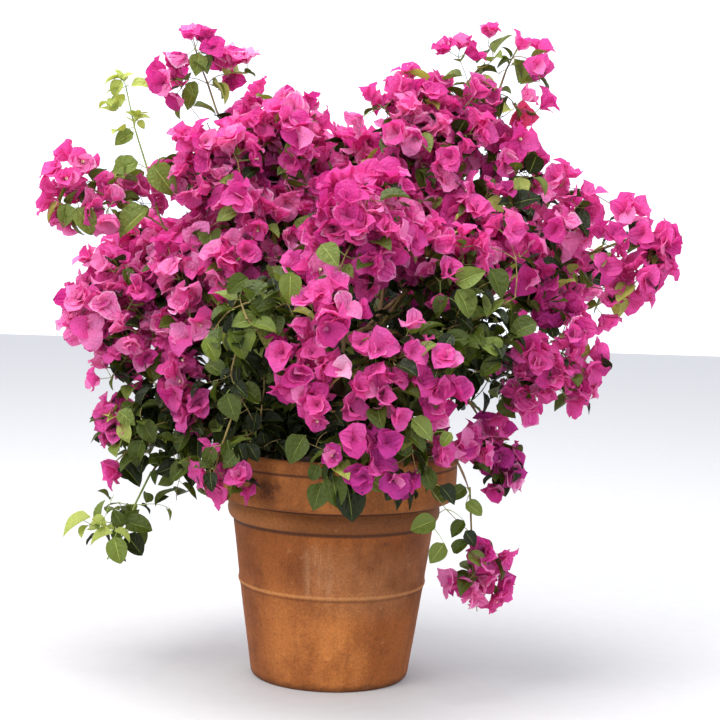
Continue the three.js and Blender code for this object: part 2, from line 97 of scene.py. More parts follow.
# Finer twigs past the source's own
FINE_SHARE = 0.95
HEAD_REACH = 44
LEAF_REACH = 26
CLUSTER_REACH = 20
FINE_FORWARD = 0.35
BOW = 0.1
LIFT = 0.04
TWIG_TIP = 0.62
PIPE_POWER = 0.4
TWIG_SIDES = 4
TWIG_STEPS = 4
STEM_SIDES = 7
STEM_OVERLAP = 10
STEM_RADIUS = 3.4
SHOOT_RADIUS = 1.6
BOUGH_INSET = {"other": 1.2, "bough_right_trailing": 1.7, "bough_left_upper": 1.6, "bough_shoot_left": 1.6}
WELD_DISTANCE = 0.00005

# Each mass: name, middle, half sizes, twigs, share in bloom, climb in degrees and how many times finer
MASSES = [
    ("upper_middle", (-70, 45, 776), (104, 125, 108), 11, 0.9, 80, 6),
    ("upper_left", (-168, -15, 752), (122, 120, 116), 10, 0.9, 60, 6),
    ("upper_right", (112, 15, 806), (102, 120, 124), 10, 0.9, 75, 6),
    ("front_upper", (27, -175, 675), (112, 110, 112), 10, 0.85, 35, 7),
    ("right_upper", (246, -15, 756), (94, 105, 106), 9, 0.8, 55, 3),
    ("top_right", (236, 20, 912), (96, 68, 72), 6, 0.8, 70, 1),
    ("top_left", (-218, 30, 912), (88, 62, 66), 5, 0.75, 70, 0),
    ("shoot_left", (-305, 0, 800), (60, 48, 124), 5, 0, 75, 0),
    ("left_upper", (-368, -20, 722), (96, 66, 74), 6, 0.8, 25, 0),
    ("left_middle", (-300, -50, 546), (128, 110, 116), 11, 0.9, 15, 6),
    ("left_low", (-268, -60, 375), (112, 85, 92), 7, 0.4, -40, 12),
    ("left_trailing", (-310, -40, 228), (122, 60, 76), 6, 0, -65, 1),
    ("front_left", (-98, -210, 540), (96, 98, 104), 7, 0.45, 15, 11),
    ("front_right", (88, -225, 490), (102, 100, 86), 9, 0.75, -5, 7),
    ("front_low", (64, -252, 368), (100, 62, 76), 6, 0.5, -62, 7),
    ("front_low_left", (-165, -190, 348), (66, 58, 64), 3, 0.9, -65, 3),
    ("right_middle", (300, 10, 612), (86, 90, 76), 6, 0.75, 30, 5),
    ("right_end", (410, -10, 666), (102, 84, 92), 8, 0.85, 20, 1),
    ("right_hanging", (322, -40, 493), (94, 85, 92), 8, 0.85, -20, 2),
    ("right_low", (240, -50, 352), (60, 56, 58), 3, 0.85, -62, 3),
    ("right_trailing", (204, -142, 206), (88, 62, 104), 5, 0.6, -85, 0),
    ("front_side", (200, -135, 560), (86, 92, 94), 6, 0.3, 25, 8),
    ("heart_left", (-152, -60, 604), (106, 104, 100), 11, 0.5, 50, 6),
    ("heart_right", (142, -45, 650), (98, 100, 98), 14, 0.5, 50, 5),
    ("back_upper", (-20, 225, 780), (180, 125, 130), 11, 0.85, 60, 5),
    ("back_left", (-295, 165, 600), (140, 120, 134), 10, 0.8, 30, 4),
    ("back_right", (315, 175, 640), (134, 120, 134), 10, 0.8, 35, 4),
    ("back_middle", (10, 290, 560), (155, 100, 114), 10, 0.75, 20, 6),
    ("back_low", (-10, 290, 395), (190, 92, 84), 8, 0.45, -40, 7),
]
NEW_GROWTH = ("shoot_left", "left_trailing")
# Leafy twigs in the middle of the bush, on the trunk
INNER_MASSES = [
    ("low_left", (-118, -70, 452), (118, 125, 118), 12, 0, 60, 12),
    ("low_right", (135, -40, 490), (140, 120, 110), 12, 0, 60, 11),
    ("low_middle", (-50, -10, 392), (178, 162, 78), 14, 0, 60, 15),
    ("back_heart", (0, 110, 590), (170, 95, 140), 12, 0.35, 80, 7),
]
INNER_NAMES = [row[0] for row in INNER_MASSES]
# Share of the inner leaves given the dark tone as painted shade deep inside the bush
INNER_SHADE_SHARE = 0.75

# Clusters where the photo shows them: place, heads in each, none for a leafy twig, and its tone
# The dark tone on leafy twigs in the hollows of the crown is painted shade
CLUSTERS = {
    "top_left": [
        (-235, 15, 955, 3), (-210, 20, 950, 3), (-270, 10, 905, 3), (-255, 20, 897, 3), (-185, 30, 920, 2),
        (-155, 40, 925, 1, "pale"), (-195, 30, 880, 0, "fresh"), (-215, 20, 830, 0, "fresh"),
    ],
    "top_right": [
        (155, 10, 867, 0, "mid"), (180, 10, 900, 0, "young"), (206, 10, 924, 0, "young"),
        (226, 10, 943, 0, "fresh"), (170, 10, 955, 3), (215, 25, 975, 1), (254, 15, 958, 1, "pale"),
        (285, 15, 950, 3), (260, 5, 885, 2, "coral"), (290, 15, 875, 1, "bright"), (235, -5, 865, 1),
    ],
    "upper_middle": [
        (-86, 40, 657, 0, "dark"), (-65, -60, 635, 3, "deep"), (-80, -50, 725, 3, "bright"),
        (-60, -60, 700, 3, "bright"), (-95, -50, 705, 2, "pink"), (-80, -40, 660, 0, "dark"),
        (-60, -40, 655, 0, "dark"), (-90, -60, 640, 0, "dark"),
    ],
    "upper_right": [
        (100, 10, 910, 3), (80, 10, 890, 3), (125, 10, 900, 2), (42, 0, 872, 3),
    ],
    "upper_left": [
        (-60, 20, 858, 3, "deep"), (-125, -105, 705, 4, "bright"), (-150, -100, 735, 3, "bright"),
        (-100, -95, 690, 3, "deep"), (-85, 0, 865, 3), (-125, 0, 875, 2), (-145, -140, 655, 4, "bright"),
        (-170, -130, 640, 3, "pink"),
    ],
    "back_heart": [
        (-100, 80, 655, 3, "deep"), (-90, 60, 640, 3, "deep"), (-112, 100, 670, 2, "deep"),
    ],
    "front_upper": [
        (-15, -280, 600, 3, "bright"), (-35, -285, 585, 2, "bright"), (5, -285, 580, 3, "deep"),
        (-15, -285, 560, 2, "deep"),
    ],
    "left_upper": [
        (-405, -20, 775, 2, "pink"), (-420, -35, 745, 3), (-385, -15, 750, 3), (-425, -20, 710, 3, "pink"),
        (-405, -25, 710, 3), (-360, -30, 710, 4), (-335, -10, 725, 4), (-310, 0, 720, 2),
        (-400, -30, 685, 0, "fresh"), (-350, -30, 690, 0, "mid"),
    ],
    "left_middle": [
        (-215, -130, 525, 1, "pale"), (-225, -135, 560, 3, "pink"),
    ],
    "left_low": [
        (-340, -70, 390, 5, "bright"), (-335, -80, 370, 2, "bright"), (-240, -112, 458, 5, "bright"),
        (-222, -112, 450, 2, "purple"), (-214, -112, 418, 5, "bright"), (-322, -65, 315, 1, "pink"),
        (-290, -40, 430, 0, "dark"), (-270, -45, 400, 0, "dark"), (-250, -40, 435, 0, "dark"),
        (-300, -50, 380, 0, "dark"), (-215, -70, 335, 0, "dark"), (-200, -90, 360, 0, "dark"),
        (-225, -80, 310, 0), (-255, -70, 315, 0), (-270, -80, 345, 0), (-235, -110, 360, 0),
        (-210, -120, 380, 0), (-235, -40, 265, 0), (-300, -90, 360, 0), (-270, -100, 380, 0),
    ],
    "left_trailing": [
        (-370, -65, 235, 0, "young"), (-340, -70, 235, 0, "fresh"), (-315, -70, 225, 0, "mid"),
        (-290, -50, 225, 0, "mid"), (-325, -70, 275, 0, "fresh"), (-275, -50, 260, 0, "dark"),
        (-245, -30, 250, 0, "dark"),
    ],
    "front_low_left": [
        (-183, -195, 338, 3, "bright"), (-155, -195, 312, 2, "pink"), (-143, -200, 322, 2, "bright"),
    ],
    "front_left": [
        (-70, -270, 520, 3, "bright"), (-40, -275, 515, 4, "bright"), (-62, -275, 498, 3, "deep"),
        (-48, -275, 488, 3, "bright"), (-22, -272, 492, 2, "bright"), (-40, -270, 470, 2, "deep"),
        (-135, -240, 585, 0), (-105, -245, 575, 0), (-65, -260, 600, 0), (-170, -240, 535, 0),
        (-130, -250, 520, 0), (-105, -240, 530, 0), (-145, -230, 475, 0), (-170, -220, 465, 0),
        (-130, -220, 440, 0), (-115, -200, 410, 0), (-155, -200, 410, 0),
    ],
    "front_right": [
        (10, -290, 495, 1, "pale"), (-25, -285, 450, 3, "bright"), (5, -280, 440, 1, "pink"),
        (35, -280, 530, 2, "bright"), (55, -285, 525, 2, "pink"), (90, -280, 520, 2, "pink"),
        (100, -265, 550, 2, "bright"), (30, -290, 465, 2, "bright"), (55, -290, 460, 2, "bright"),
        (80, -290, 475, 2, "bright"), (105, -285, 480, 2, "deep"), (150, -265, 505, 2, "pink"),
        (130, -270, 470, 3, "deep"), (155, -260, 460, 2, "deep"), (145, -260, 435, 2, "purple"),
        (75, -290, 440, 1, "bright"),
    ],
    "front_low": [
        (5, -285, 378, 1, "purple"), (30, -290, 400, 2, "purple"), (70, -290, 395, 2, "purple"),
        (140, -255, 375, 1, "bright"), (50, -290, 358, 2, "purple"), (85, -280, 350, 2, "purple"),
        (-50, -260, 395, 0), (-10, -270, 405, 0), (105, -270, 410, 0), (130, -260, 405, 0),
        (120, -230, 335, 0), (5, -270, 340, 0), (25, -250, 310, 0),
    ],
    "right_hanging": [
        (265, -90, 480, 4), (255, -80, 440, 3), (300, -100, 515, 5), (340, -80, 540, 4, "purple"),
        (375, -60, 510, 4), (325, -90, 475, 5), (290, -80, 445, 3, "deep"), (310, -105, 492, 4, "bright"),
        (345, -90, 505, 4, "bright"), (278, -95, 465, 3, "bright"), (375, -50, 465, 4), (350, -60, 565, 3),
        (350, -70, 455, 3, "deep"),
    ],
    "right_low": [
        (195, -155, 385, 3, "purple"), (210, -150, 370, 2, "pink"), (180, -165, 375, 1, "pink"),
        (225, -62, 376, 3, "purple"), (238, -60, 352, 3, "purple"), (250, -70, 385, 3, "purple"),
        (262, -60, 360, 3, "purple"), (260, -60, 335, 2, "purple"), (260, -50, 315, 2, "deep"),
        (170, -170, 355, 0, "mid"),
    ],
    "right_trailing": [
        (212, -160, 172, 3, "pink"), (215, -150, 180, 3, "bright"), (205, -130, 180, 2, "purple"),
        (245, -140, 215, 3, "deep"), (252, -130, 180, 3, "purple"), (242, -130, 155, 3, "bright"),
        (130, -195, 330, 0, "mid"), (140, -190, 265, 0, "mid"),
    ],
    "right_end": [
        (435, -20, 720, 3), (465, -30, 695, 3), (480, -20, 680, 2), (470, -30, 660, 4), (485, -20, 645, 2),
        (455, -50, 630, 4), (440, -40, 605, 3), (400, -60, 680, 3, "deep"), (395, -50, 645, 2),
        (425, -20, 605, 2), (395, -40, 585, 2), (335, -10, 765, 3), (360, -20, 735, 3), (325, -50, 695, 3),
    ],
    "right_upper": [
        (210, -10, 840, 3), (185, -20, 820, 1), (245, -10, 825, 2), (265, -10, 830, 3), (280, -10, 785, 3),
        (250, -20, 795, 3), (235, -20, 800, 2), (285, -5, 790, 2), (215, -60, 745, 2), (250, -50, 735, 2),
        (200, -80, 715, 3),
    ],
    "right_middle": [
        (255, -20, 530, 0, "dark"), (255, 10, 545, 0, "dark"), (275, 10, 510, 0, "dark"),
        (250, 0, 505, 0, "dark"), (360, -30, 630, 3), (295, -60, 620, 3), (290, -60, 590, 2),
        (325, -50, 585, 2),
    ],
    "front_side": [
        (245, -110, 695, 3), (270, -100, 660, 2), (180, -150, 675, 3), (185, -150, 650, 2),
        (150, -170, 625, 3), (230, -120, 615, 1),
    ],
    "shoot_left": [
        (-337, -5, 893, 0), (-352, 0, 852, 0), (-308, 5, 842, 0), (-328, -10, 808, 0), (-262, -20, 748, 0),
        (-332, -10, 762, 0), (-322, -15, 694, 0),
    ],
}
# Masses that bloom by the rule too, besides those clusters
STILL_BLOOMING = ("upper_middle", "upper_right", "upper_left", "front_upper", "left_middle")
LIGHT_LEAVED = ("top_left", "top_right", "left_upper", "right_trailing")
# Masses where a share of the clusters of one tone has another tone instead
# In these crown masses deep clusters turn pink at this share: painted light on the lit crown
CROWN_PAINTED_LIGHT = ("deep", "pink", 0.6)
TONE_CHANGES = {
    "upper_left": CROWN_PAINTED_LIGHT,
    "upper_middle": CROWN_PAINTED_LIGHT,
    "upper_right": CROWN_PAINTED_LIGHT,
    "left_middle": CROWN_PAINTED_LIGHT,
    "heart_left": CROWN_PAINTED_LIGHT,
    "front_upper": ("pink", "deep", 1),
    "front_side": ("pink", "bright", 1),
    "front_right": ("pink", "bright", 1),
    "top_left": ("bright", "deep", 1),
    "right_upper": ("pink", "deep", 1),
    "right_middle": ("pink", "deep", 1),
    "right_end": ("pink", "bright", 1),
    "right_hanging": ("deep", "bright", 1),
}

# Where the sky shows into the crown, as the middle and half sizes of each opening
OPENINGS = [((-14, 130, 902), (68, 300, 112)), ((-365, -60, 440), (30, 80, 26))]

# Single leaves that show, by mass: each one's root, tip and tone
SHOWN_LEAVES = {
    "shoot_left": [
        ((-280, -35, 760), (-245, -35, 715), "fresh"), ((-290, -30, 695), (-335, -30, 655), "fresh"),
        ((-305, -20, 765), (-345, -20, 750), "fresh"), ((-315, -10, 808), (-344, -10, 790), "fresh"),
        ((-335, -5, 888), (-355, -5, 887), "young"), ((-335, -5, 888), (-315, -5, 897), "young"),
        ((-335, -5, 888), (-344, -5, 903), "young"), ((-335, -5, 886), (-346, -5, 860), "young"),
        ((-318, -5, 879), (-288, -5, 877), "young"), ((-341, -5, 840), (-369, -5, 844), "young"),
        ((-341, -5, 840), (-359, -5, 856), "young"), ((-338, -5, 843), (-328, -5, 861), "young"),
        ((-310, -5, 828), (-328, -5, 841), "young"), ((-310, -5, 828), (-290, -5, 836), "young"),
        ((-308, -5, 827), (-298, -5, 815), "young"),
    ],
    "left_upper": [
        ((-415, -40, 700), (-440, -40, 675), "young"), ((-405, -45, 700), (-410, -45, 665), "fresh"),
        ((-390, -45, 695), (-365, -45, 655), "fresh"),
    ],
    "top_left": [
        ((-220, 5, 930), (-225, 5, 895), "fresh"),
    ],
    "front_upper": [
        ((-65, -275, 620), (-65, -275, 575), "fresh"), ((-25, -255, 660), (0, -265, 630), "fresh"),
    ],
    "upper_middle": [
        ((-65, -75, 690), (-40, -85, 665), "fresh"),
    ],
    "upper_left": [
        ((-150, -115, 700), (-180, -120, 685), "fresh"),
    ],
    "front_left": [
        ((-145, -260, 535), (-120, -260, 500), "fresh"), ((-180, -255, 525), (-160, -255, 495), "fresh"),
        ((-110, -260, 555), (-145, -260, 545), "fresh"), ((-85, -260, 580), (-120, -260, 565), "mid"),
        ((-125, -250, 610), (-155, -250, 590), "mid"), ((-150, -235, 450), (-135, -235, 410), "mid"),
        ((-130, -235, 460), (-100, -235, 440), "mid"),
    ],
    "front_side": [
        ((165, -190, 600), (190, -190, 560), "fresh"), ((150, -190, 525), (190, -190, 535), "mid"),
        ((230, -190, 515), (195, -190, 530), "fresh"), ((195, -190, 515), (175, -190, 495), "mid"),
        ((230, -185, 500), (200, -185, 480), "mid"), ((165, -190, 610), (205, -190, 630), "fresh"),
        ((210, -190, 630), (230, -190, 590), "mid"), ((150, -195, 590), (135, -195, 560), "mid"),
        ((115, -195, 520), (150, -195, 540), "mid"), ((280, -160, 555), (240, -160, 535), "mid"),
    ],
    "right_trailing": [
        ((145, -200, 275), (110, -200, 260), "fresh"), ((188, -165, 318), (165, -170, 300), "mid"),
        ((190, -165, 295), (214, -165, 278), "fresh"), ((188, -165, 270), (170, -170, 246), "mid"),
        ((190, -165, 255), (206, -165, 232), "dark"), ((160, -185, 240), (140, -185, 210), "fresh"),
        ((175, -170, 225), (195, -170, 245), "mid"), ((195, -165, 220), (225, -165, 205), "fresh"),
    ],
    "front_low": [
        ((105, -290, 430), (135, -290, 400), "fresh"), ((105, -290, 405), (125, -290, 385), "mid"),
        ((160, -275, 410), (145, -275, 390), "fresh"), ((-15, -270, 335), (-25, -270, 295), "mid"),
        ((20, -265, 335), (30, -265, 280), "dark"), ((0, -275, 345), (10, -275, 300), "mid"),
        ((-20, -270, 360), (-30, -270, 335), "mid"), ((-40, -275, 400), (-60, -275, 360), "mid"),
        ((45, -280, 375), (20, -280, 350), "fresh"), ((85, -280, 400), (105, -280, 375), "mid"),
        ((125, -255, 355), (140, -255, 325), "mid"), ((150, -240, 330), (170, -240, 305), "dark"),
    ],
    "front_low_left": [
        ((-135, -200, 375), (-125, -200, 345), "dark"), ((-150, -200, 380), (-145, -200, 345), "mid"),
        ((-120, -200, 375), (-105, -200, 350), "dark"), ((-135, -205, 365), (-155, -205, 340), "mid"),
        ((-170, -200, 370), (-180, -200, 340), "mid"),
    ],
    "left_low": [
        ((-315, -110, 405), (-290, -110, 385), "fresh"), ((-280, -120, 395), (-260, -120, 360), "mid"),
        ((-210, -110, 330), (-240, -110, 305), "mid"), ((-215, -100, 380), (-230, -100, 345), "mid"),
        ((-200, -105, 375), (-200, -105, 335), "dark"), ((-215, -95, 335), (-205, -95, 295), "dark"),
    ],
    "left_trailing": [
        ((-360, -70, 240), (-400, -70, 210), "young"), ((-355, -80, 240), (-330, -80, 230), "young"),
        ((-325, -85, 220), (-360, -85, 205), "young"), ((-320, -90, 225), (-295, -90, 210), "young"),
        ((-320, -90, 215), (-310, -90, 175), "fresh"), ((-305, -75, 235), (-265, -75, 225), "mid"),
        ((-305, -70, 215), (-280, -70, 185), "dark"), ((-310, -75, 230), (-325, -75, 255), "mid"),
    ],
}

# Bracts: lengths, how a head's bracts vary, and the grid of each
BRACT_LENGTH = 33
HEAD_SIZES = (0.82, 1.12)
BRACT_SIZES = (0.86, 1.1)
INNER_SIZE = 0.78
INNER_RAISE = 2.0
BRACT_SWING = 0.3
BRACT_WIDTHS = (0.84, 1.02)
VEINED_SIDES = (-1, -0.84, -0.5, -0.42, -0.04, 0.04, 0.42, 0.5, 0.84, 1)
PLAIN_SIDES = (-1, -0.62, -0.2, 0.2, 0.62, 1)
BRACT_VEINS = (2, 4, 6)
BRACT_ROWS = 6
BRACT_KINDS = 28
VEINED_KINDS = 9
BRACT_SEED = 901
CRINKLE = 0.045
VEIN_GROOVE = 0.03
PLEAT_DEPTHS = (0.6, 1.3)
PLEATS = 4.4
# Share of veined bracts with paler rims, a painted highlight
RIM_HIGHLIGHT_SHARE = 0.55
OTHER_BRACT_SHARE = 0.3
OTHER_HEAD_SHARE = 0.22
DOUBLE_SHARE = 0.4
STALK = 15
STALK_LENGTHS = (0.8, 1.3)
SIDE_TILTS = (50, 105)
TOP_TILTS = (0, 30)
CLUSTER_HEADS = (3, 5)
FINE_HEADS = (2, 3)

# Flowers
FLOWER_SHARE = 0.15
FLOWER_MIDDLE = 7
FLOWER_LENGTH = 12
FLOWER_RADII = [0.8, 1.0, 1.0, 2.4]

# Leaves
LEAF_LENGTH = 44
LEAF_SIZES = (0.6, 1.12)
LEAF_WIDTHS = (0.68, 0.82)
LEAF_SIDES = (-1, -0.5, -0.03, 0.03, 0.5, 1)
LEAF_ROWS = 7
MIDRIB = 2
LEAF_KINDS = 10
LEAF_SEED = 902
LEAF_STALK = 0.16
LEAF_SPACING = 21
YOUNG_SPACING = 10
APART_LEAVES = 3
OTHER_LEAF_SHARE = 0.3
SPIRAL_STEP = 2.4
DRESS_SEED = 700
LIMIT = 195000

# A blade's form, in the order of its draws: each part's range in bracts and in leaves
FORMS = {
    "root_power": ((0.42, 0.55), (0.5, 0.62)),
    "tip_power": ((0.6, 0.75), (0.9, 1.15)),
    "open_from": ((8, 34), (72, 84)),
    "open_to": ((45, 112), (102, 138)),
    "curl_power": ((0.8, 1.4), (1.1, 1.7)),
    "waves": ((1.0, 1.9), (0.8, 1.4)),
    "phase": ((0, FULL_TURN), (0, FULL_TURN)),
    "cup": ((0.05, 0.5), (-0.05, 0.16)),
    "fold": ((0.0, 0.3), (0.2, 0.55)),
    "ruffle": ((0.08, 0.2), (0.015, 0.05)),
    "lobe": ((0.0, 0.12), (0.0, 0.06)),
}

# Colours on screen, each with its share of the sprays, and the tones of lines and of edges on each, the
# paler edge tones being painted highlight
BLOSSOM_TONES = [
    ("bright", (226, 88, 168), 0.49),
    ("deep", (206, 60, 146), 0.2),
    ("pink", (236, 134, 192), 0.3),
    # purple: the magenta in bluish shade, painted shade, given to the low clusters
    ("purple", (192, 58, 148), 0.01),
    ("pale", (246, 186, 218), 0),
    ("vein", (184, 42, 130), 0),
    ("coral", (220, 74, 118), 0),
]
LEAF_TONES = [
    ("mid", (70, 82, 30), 0.42),
    ("dark", (32, 41, 12), 0.36),
    ("fresh", (106, 121, 55), 0.17),
    ("young", (158, 168, 86), 0.05),
]
LINE_TONES = {
    "bright": "deep", "deep": "vein", "pink": "bright", "purple": "vein", "pale": "pink", "coral": "deep"
}
# Paler tones for the rims: painted highlight where the crinkled rims catch the light
RIM_HIGHLIGHT_TONES = {
    "bright": "pink", "deep": "bright", "pink": "pale", "purple": "deep", "pale": "pale", "coral": "pink"
}
RIB_TONES = {"mid": "fresh", "dark": "fresh", "fresh": "young", "young": "young"}
CREAM = (238, 226, 186)

# The clay's colours on screen, one or the two that it wanders between
CLAY = {
    # The first row is the lower body's middle, painted lighter as painted light; the second is its sides in
    # painted shade
    "lit_middle": ((148, 84, 38), (184, 112, 56)),
    "shaded_sides": ((122, 66, 28), (148, 84, 38)),
    "upper": ((116, 63, 25), (144, 81, 34)),
    "lip": ((120, 70, 34), (158, 96, 48)),
    "roll": ((158, 100, 56), (110, 67, 34)),
    "ridge": (200, 136, 80),
    "film": (152, 108, 74),
    "salt": (184, 138, 102),
    "bloom": (206, 156, 110),
    "stain": (70, 38, 16),
    # One colour for real dirt at the foot and in specks, and for the painted shadow in the grooves
    "dirt_and_shadow": (66, 38, 22),
    "grain": ((216, 216, 216), (255, 255, 255)),
}
# Bands of the pot in metres: from, to and soft edge, up the pot or across it from left to right
RISES = {
    "roll": (0.241, 0.269, 0.003),
    "ridge": (0.1430, 0.1475, 0.0012),
    "film": (0.118, 0.215, 0.022),
    "salt": (0.145, 0.22, 0.018),
    "stain": (0.29, 0.318, 0.008),
}
WIDTHS = {
    # The lower body's middle across the pot, painted lighter as painted light, with its sides left in
    # painted shade
    "lit_middle": (-0.085, 0.05, 0.03),
    "film": (-0.03, 0.115, 0.03),
    "salt": (-0.034, 0.0, 0.011),
    "stain": (-0.135, -0.075, 0.02),
}
# Painted shadow lines in the grooves under the lip band, the collar, the roll and the ridge: from, to, soft
# edge and strength
GROOVE_SHADOWS = (
    (0.2362, 0.2420, 0.0018, 0.85),
    (0.2685, 0.2750, 0.0014, 0.85),
    (0.3262, 0.3300, 0.0014, 0.85),
    (0.1385, 0.1412, 0.0012, 0.34),
)

# Studio: each light's name, place, aim, size, power and colour, then the sky and the camera
LIGHTS = [
    ("key", (-1.9, -2.3, 3.2), (-0.1, 0, 0.6), 1.8, 104, (1.0, 0.97, 0.95)),
    ("fill", (2.6, -2.2, 1.4), (0, 0, 0.5), 2.2, 24, (0.93, 0.96, 1.0)),
    ("top", (-0.3, 0.0, 3.4), (-0.1, 0, 0.6), 2.0, 102, (1.0, 1.0, 1.0)),
]
SKY_COLOUR = (0.86, 0.9, 1.0, 1.0)
SKY_STRENGTH = 1.48
FLOOR_REACH = 6
CAMERA_PLACE = (0.0325, -2.772, 0.735)
CAMERA_DOWN = 5.25
CAMERA_ROLL = 1.8
CAMERA_LENS = 92.5
SENSOR_WIDTH = 36


def linear(colour):
    """A screen colour's parts as linear light."""
    return tuple((part / 255) ** 2.2 for part in colour) + (1.0,)


def draws_from(seed):
    """The same numbers between 0 and 1 every time for one seed."""
    state = seed * SEED_STEP + SEED_START

    def draw():
        nonlocal state
        state = state * SEED_FACTOR % SEED_MODULUS
        return state / SEED_MODULUS

    draw()
    draw()
    return draw


def between(draw, low, high):
    return low + (high - low) * draw()


def pick(draw, rows):
    """The name of a row drawn by the share in its last column."""
    left = draw() * sum(row[-1] for row in rows)
    for row in rows:
        left -= row[-1]
        if left <= 0:
            return row[0]
    return rows[-1][0]


# Growth


def trunk_point(share):
    """The place at a share of the trunk's line, upright at the soil and then leaning."""
    foot = Vector((0, 0, SOIL_LEVEL + SEAM))
    rise = foot + UP * (TRUNK_HEIGHT * TRUNK_UPRIGHT)
    head = Vector((*TRUNK_LEAN, foot.z + TRUNK_HEIGHT))
    below = head - UP * (TRUNK_HEIGHT * TRUNK_HEAD)
    below.x -= TRUNK_LEAN[0] * TRUNK_HEAD_LEAN
    below.y -= TRUNK_LEAN[1] * TRUNK_HEAD_LEAN
    rest = 1 - share
    return foot * rest**3 + rise * (3 * rest**2 * share) + below * (3 * rest * share**2) + head * share**3


def times(first, second):
    return Vector((first.x * second.x, first.y * second.y, first.z * second.z))


def divided(first, second):
    return Vector((first.x / second.x, first.y / second.y, first.z / second.z))


def mass_from(row, index):
    """A mass with its space, its stem's direction and where that stem comes in."""
    name, middle, reach, tips, bloom, climb, fineness = row
    centre = Vector(middle)
    half = Vector(reach)
    along = Vector((centre.x, centre.y, 0)).normalized() * math.cos(math.radians(climb))
    along.z = math.sin(math.radians(climb))
    depth = 1 / divided(along, half).length
    entry = centre + along * (STEM_SHARES[0] * depth)
    if name in ON_TRUNK:
        entry = trunk_point(ON_TRUNK[name])
    return SimpleNamespace(
        name=name,
        centre=centre,
        half=half,
        tips=tips,
        bloom=bloom,
        fineness=fineness,
        along=along,
        depth=depth,
        entry=entry,
        seed=index + 1,
        walls=[],
    )


def add_walls(masses):
    """Flat walls halfway, by reach, between each two masses."""
    for mass in masses:
        for other in masses:
            if other is mass:
                continue
            normal = other.centre - mass.centre
            distance = normal.length
            normal /= distance
            own = times(normal, mass.half).length
            share = own / (own + times(normal, other.half).length)
            mass.walls.append((normal, normal.dot(mass.centre) + distance * share - WALL_GAP))


def clear_of_pot(point):
    radius = math.hypot(point.x, point.y)
    if point.z > POT_HEIGHT + POT_GAP:
        return True
    if radius < LIP_INNER_RADIUS - POT_GAP:
        return point.z > SOIL_LEVEL + POT_GAP
    outside = LIP_RADIUS if point.z > COLLAR_BOTTOM - POT_GAP else ROLL_RADIUS
    return radius > outside + POT_GAP and point.z > GROUND_GAP


def in_space(mass, point):
    if divided(point - mass.centre, mass.half).length_squared > 1 or not clear_of_pot(point):
        return False
    return all(normal.dot(point) < offset for normal, offset in mass.walls)


def in_opening(point):
    ways = (divided(point - Vector(middle), Vector(half)) for middle, half in OPENINGS)
    return any(way.length_squared < 1 for way in ways)


def within(point, gap):
    """Whether a place is at least so far inside the crown: in one mass's middle, or where two meet."""
    shared = 0
    for mass in masses:
        way = point - mass.centre
        if divided(way, mass.half).length_squared < 1:
            shared += 1
            room = Vector([max(half - gap, half * 0.25) for half in mass.half])
            if shared > 1 or divided(way, room).length_squared < 1:
                return True
    return False


def out_of_crown(point):
    """The direction that a cluster at this place faces, away from the foot of the bush."""
    return (point - Vector((0, 0, SOIL_LEVEL))).normalized()


def nearest_place(places, headings, tip, forward):
    """The place past the stem's root that a twig to this tip starts at, for a fine twig one behind it."""
    best = 1
    best_cost = math.inf
    for index in range(1, len(places)):
        way = tip - places[index]
        cost = way.length
        if forward:
            cost *= 1 + FINE_FORWARD * (1 - way.normalized().dot(headings[index]))
        if cost < best_cost:
            best = index
            best_cost = cost
    return best


def stem_places(mass, draw):
    """The places along a mass's stem, straight at first and kept out of the openings."""
    places = []
    for index, share in enumerate(STEM_SHARES):
        place = mass.centre + mass.along * (share * mass.depth) if index else mass.entry.copy()
        bend = 0 if index < STEM_STRAIGHT else STEM_WANDER * mass.depth
        place += Vector((draw() - 0.5, draw() - 0.5, draw() - 0.5)) * bend
        while index and in_opening(place):
            place = place.lerp(places[-1], 0.2)
        places.append(place)
    return places


def drawn_tip(mass, tips, reach, draw):
    """The candidate in the mass that is furthest from all its other tips, if any fits."""
    best = None
    best_gap = 0
    for _ in range(CANDIDATES):
        turn = FULL_TURN * draw()
        height = 2 * draw() - 1
        radius = draw() ** (1 / 3) * FINE_SHARE
        ring = math.sqrt(1 - height * height) * radius
        place = Vector((ring * math.cos(turn), ring * math.sin(turn), height * radius))
        place = times(place, mass.half) + mass.centre
        gap = min((tip - place).length for tip in tips)
        if gap <= best_gap or in_opening(place) or not in_space(mass, place):
            continue
        if within(place, reach):
            best = place
            best_gap = gap
    return best


